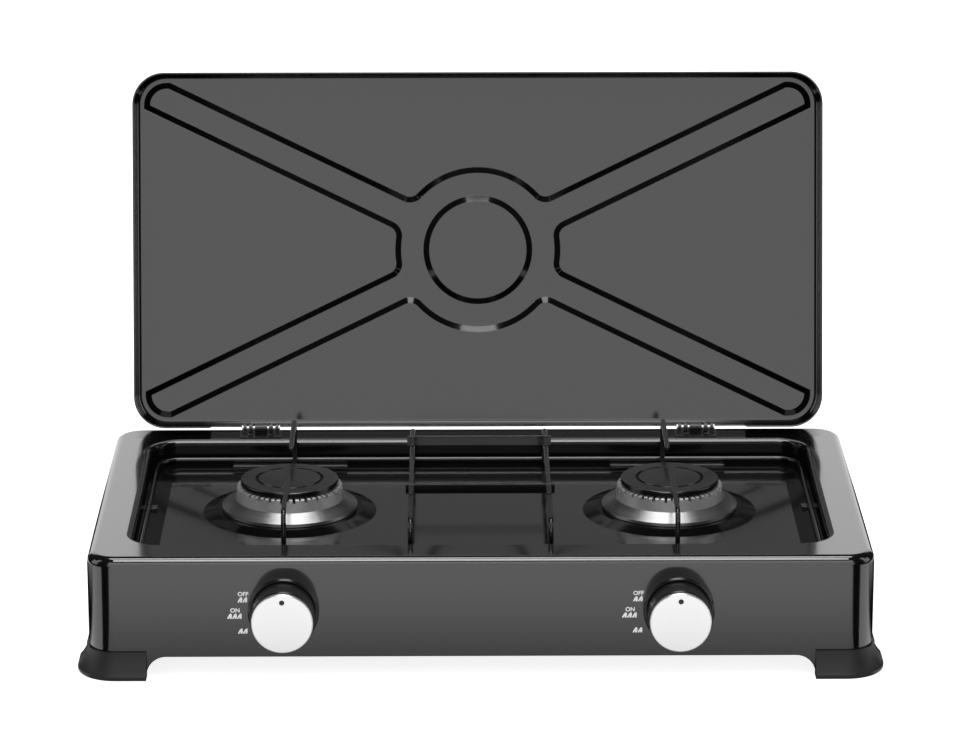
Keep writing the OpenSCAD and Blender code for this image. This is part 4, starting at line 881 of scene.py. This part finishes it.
class OBJECT_OT_hob_stage(HobPiece, bpy.types.Operator):
    """Floor, surroundings, soft lights and camera"""

    bl_idname = "object.hob_stage"
    bl_label = "Stage"

    WHITE = (1.0, 1.0, 1.0, 1.0)
    # Part of the way to the rear over which the panels' top drops to that of the panel behind
    REAR_SOFT = 0.02
    SENSOR_WIDTH = 36.0

    def execute(self, context):
        stage = context.scene.hob_stage
        self.lay_floor(context.scene, stage)
        self.set_world(context.scene, stage)
        self.add_light(
            context.scene, "front_light", stage.front_light_at, stage.light_aim,
            stage.front_light_size, stage.front_light_power,
        )
        self.add_light(
            context.scene, "top_light", stage.top_light_at, stage.light_aim,
            stage.top_light_size, stage.top_light_power,
        )
        self.place_camera(context.scene, stage)
        context.scene.view_settings.view_transform = "Standard"
        return {"FINISHED"}

    def ray_kinds(self, tree):
        """One for camera rays, and one for the rays that show the background in metal and glass"""
        path = tree.nodes.new("ShaderNodeLightPath").outputs
        return path["Is Camera Ray"], any_of(tree, path["Is Glossy Ray"], path["Is Transmission Ray"])

    def by_ray(self, tree, straight, mirrored, diffuse):
        """Strength that differs for the camera, for reflections and for the light on matt surfaces"""
        camera_ray, mirror_ray = self.ray_kinds(tree)
        result = diffuse
        for shown, value in ((mirror_ray, mirrored), (camera_ray, straight)):
            result = node(tree, "ShaderNodeMix", Factor=shown, A=result, B=value).outputs["Result"]
        return result

    def white_fields(self, tree, aside, half, side_from, soft):
        """White in front and behind, and white at the sides, by the angle from front or back"""
        return fade(tree, aside, half, soft, 1.0, 0.0), fade(tree, aside, side_from, soft)

    def lay_floor(self, scene, stage):
        bm = bmesh.new()
        bmesh.ops.create_grid(bm, x_segments=8, y_segments=8, size=stage.floor_size / 2)
        floor = bpy.data.objects.new("floor", mesh_from(bm, "floor"))
        scene.collection.objects.link(floor)
        mat, tree, shader = new_material("pale_floor")
        mirror_ray = self.ray_kinds(tree)[1]
        mirrored = self.floor_in_mirror(tree, stage)
        feed(
            tree, shader,
            Base_Color=step(tree, mirror_ray, 0.0, 1.0, stage.floor_grey, 0.0),
            Roughness=0.9,
            Specular_IOR_Level=0.1,
            Emission_Color=self.WHITE,
            Emission_Strength=self.by_ray(tree, stage.floor_glow, mirrored, 0.0),
        )
        floor.data.materials.append(mat)

    def floor_in_mirror(self, tree, stage):
        """White of the floor in reflections, with a painted shadow of the hob near the body and painted dark
        wedges off its corners
        """
        axes = split(tree, coordinates(tree))
        sides, ends = (past_edges(tree, axes, axis, "body_shell") for axis in "XY")
        aside = calc(tree, "ARCTAN2", *(calc(tree, "MAXIMUM", reach, MM) for reach in (sides, ends)))
        front, side = self.white_fields(tree, aside, stage.floor_half, stage.floor_side, stage.panel_soft)
        off_ends = fade(tree, ends, stage.end_shadow, stage.end_shadow_soft)
        off_sides = fade(tree, sides, stage.side_shadow, stage.side_shadow_soft)
        by_corner = fade(tree, ends, -stage.corner_clear, stage.corner_soft)
        near_side = fade(tree, sides, stage.side_floor, stage.side_floor_soft, 1.0, 0.0)
        white_front = all_of(tree, front, off_ends)
        return any_of(tree, white_front, all_of(tree, side, any_of(tree, off_sides, by_corner), near_side))

    def set_world(self, scene, stage):
        world = bpy.data.worlds.new("studio")
        world.use_nodes = True
        tree = world.node_tree
        strength = self.by_ray(tree, 1.0, self.panels(tree, stage), stage.ambient)
        feed(tree, tree.nodes["Background"], Color=self.WHITE, Strength=strength)
        scene.world = world

    def panels(self, tree, stage):
        """White panels in front, behind and at the sides, with dark gaps between and a dark ceiling"""
        axes = split(tree, coordinates(tree, "Generated"))
        aside = calc(tree, "ARCTAN2", *(calc(tree, "ABSOLUTE", axes[axis]) for axis in "XY"))
        above = calc(tree, "ARCSINE", axes["Z"])
        front, side = self.white_fields(tree, aside, stage.panel_half, stage.side_from, stage.panel_soft)
        lowered = fade(tree, axes["Y"], 0.0, self.REAR_SOFT, 0.0, stage.panel_top - stage.rear_top)
        height = calc(tree, "ADD", above, lowered)
        below_top = fade(tree, height, stage.panel_top, stage.panel_soft, 1.0, 0.0)
        rise = fade(tree, above, stage.rise_at, stage.rise_soft, 1.0, stage.panel_rise)
        return any_of(tree, all_of(tree, any_of(tree, front, side), below_top, rise), stage.gap_level)

    def add_light(self, scene, name, at, towards, size, power):
        light = bpy.data.lights.new(name, "AREA")
        light.shape = "RECTANGLE"
        light.size, light.size_y = size
        light.energy = power
        lamp = bpy.data.objects.new(name, light)
        lamp.location = at
        lamp.rotation_euler = (Vector(towards) - Vector(at)).to_track_quat("-Z", "Y").to_euler()
        scene.collection.objects.link(lamp)

    def place_camera(self, scene, stage):
        data = bpy.data.cameras.new("camera")
        data.sensor_fit = "HORIZONTAL"
        data.sensor_width = self.SENSOR_WIDTH
        data.lens = stage.lens
        camera = bpy.data.objects.new("camera", data)
        camera.location = stage.camera_at
        level_reach = math.cos(stage.pitch)
        look = Vector((
            math.sin(stage.yaw) * level_reach, math.cos(stage.yaw) * level_reach, -math.sin(stage.pitch)
        ))
        camera.rotation_euler = look.to_track_quat("-Z", "Y").to_euler()
        scene.collection.objects.link(camera)
        scene.camera = camera


# Panel, registration and run

GROUPS = {"hob_finishes": HobFinishes, "hob_marks": HobMarks, "hob_stage": HobStage}
PIECES = (
    OBJECT_OT_hob_body,
    OBJECT_OT_hob_feet,
    OBJECT_OT_hob_pan_support,
    OBJECT_OT_hob_welds,
    OBJECT_OT_hob_burners,
    OBJECT_OT_hob_knobs,
    OBJECT_OT_hob_gas_parts,
    OBJECT_OT_hob_marks,
    OBJECT_OT_hob_stage,
)


class VIEW3D_PT_hob(bpy.types.Panel):
    """Pieces and settings of the hob in the sidebar"""

    bl_idname = "VIEW3D_PT_hob"
    bl_label = "Gas hob"
    bl_space_type = "VIEW_3D"
    bl_region_type = "UI"
    bl_category = "Hob"

    def draw(self, context):
        for piece in PIECES:
            self.layout.operator(piece.bl_idname)
        for name, group in GROUPS.items():
            box = self.layout.box()
            for key in group.__annotations__:
                box.prop(getattr(context.scene, name), key)


def register():
    for kind in (*GROUPS.values(), *PIECES, VIEW3D_PT_hob):
        bpy.utils.register_class(kind)
    for name, kind in GROUPS.items():
        setattr(bpy.types.Scene, name, bpy.props.PointerProperty(type=kind))


def unregister():
    for name in GROUPS:
        delattr(bpy.types.Scene, name)
    for kind in (VIEW3D_PT_hob, *reversed(PIECES), *GROUPS.values()):
        bpy.utils.unregister_class(kind)


def main():
    register()
    for piece in PIECES:
        group, name = piece.bl_idname.split(".")
        getattr(getattr(bpy.ops, group), name)()


if __name__ == "__main__":
    main()
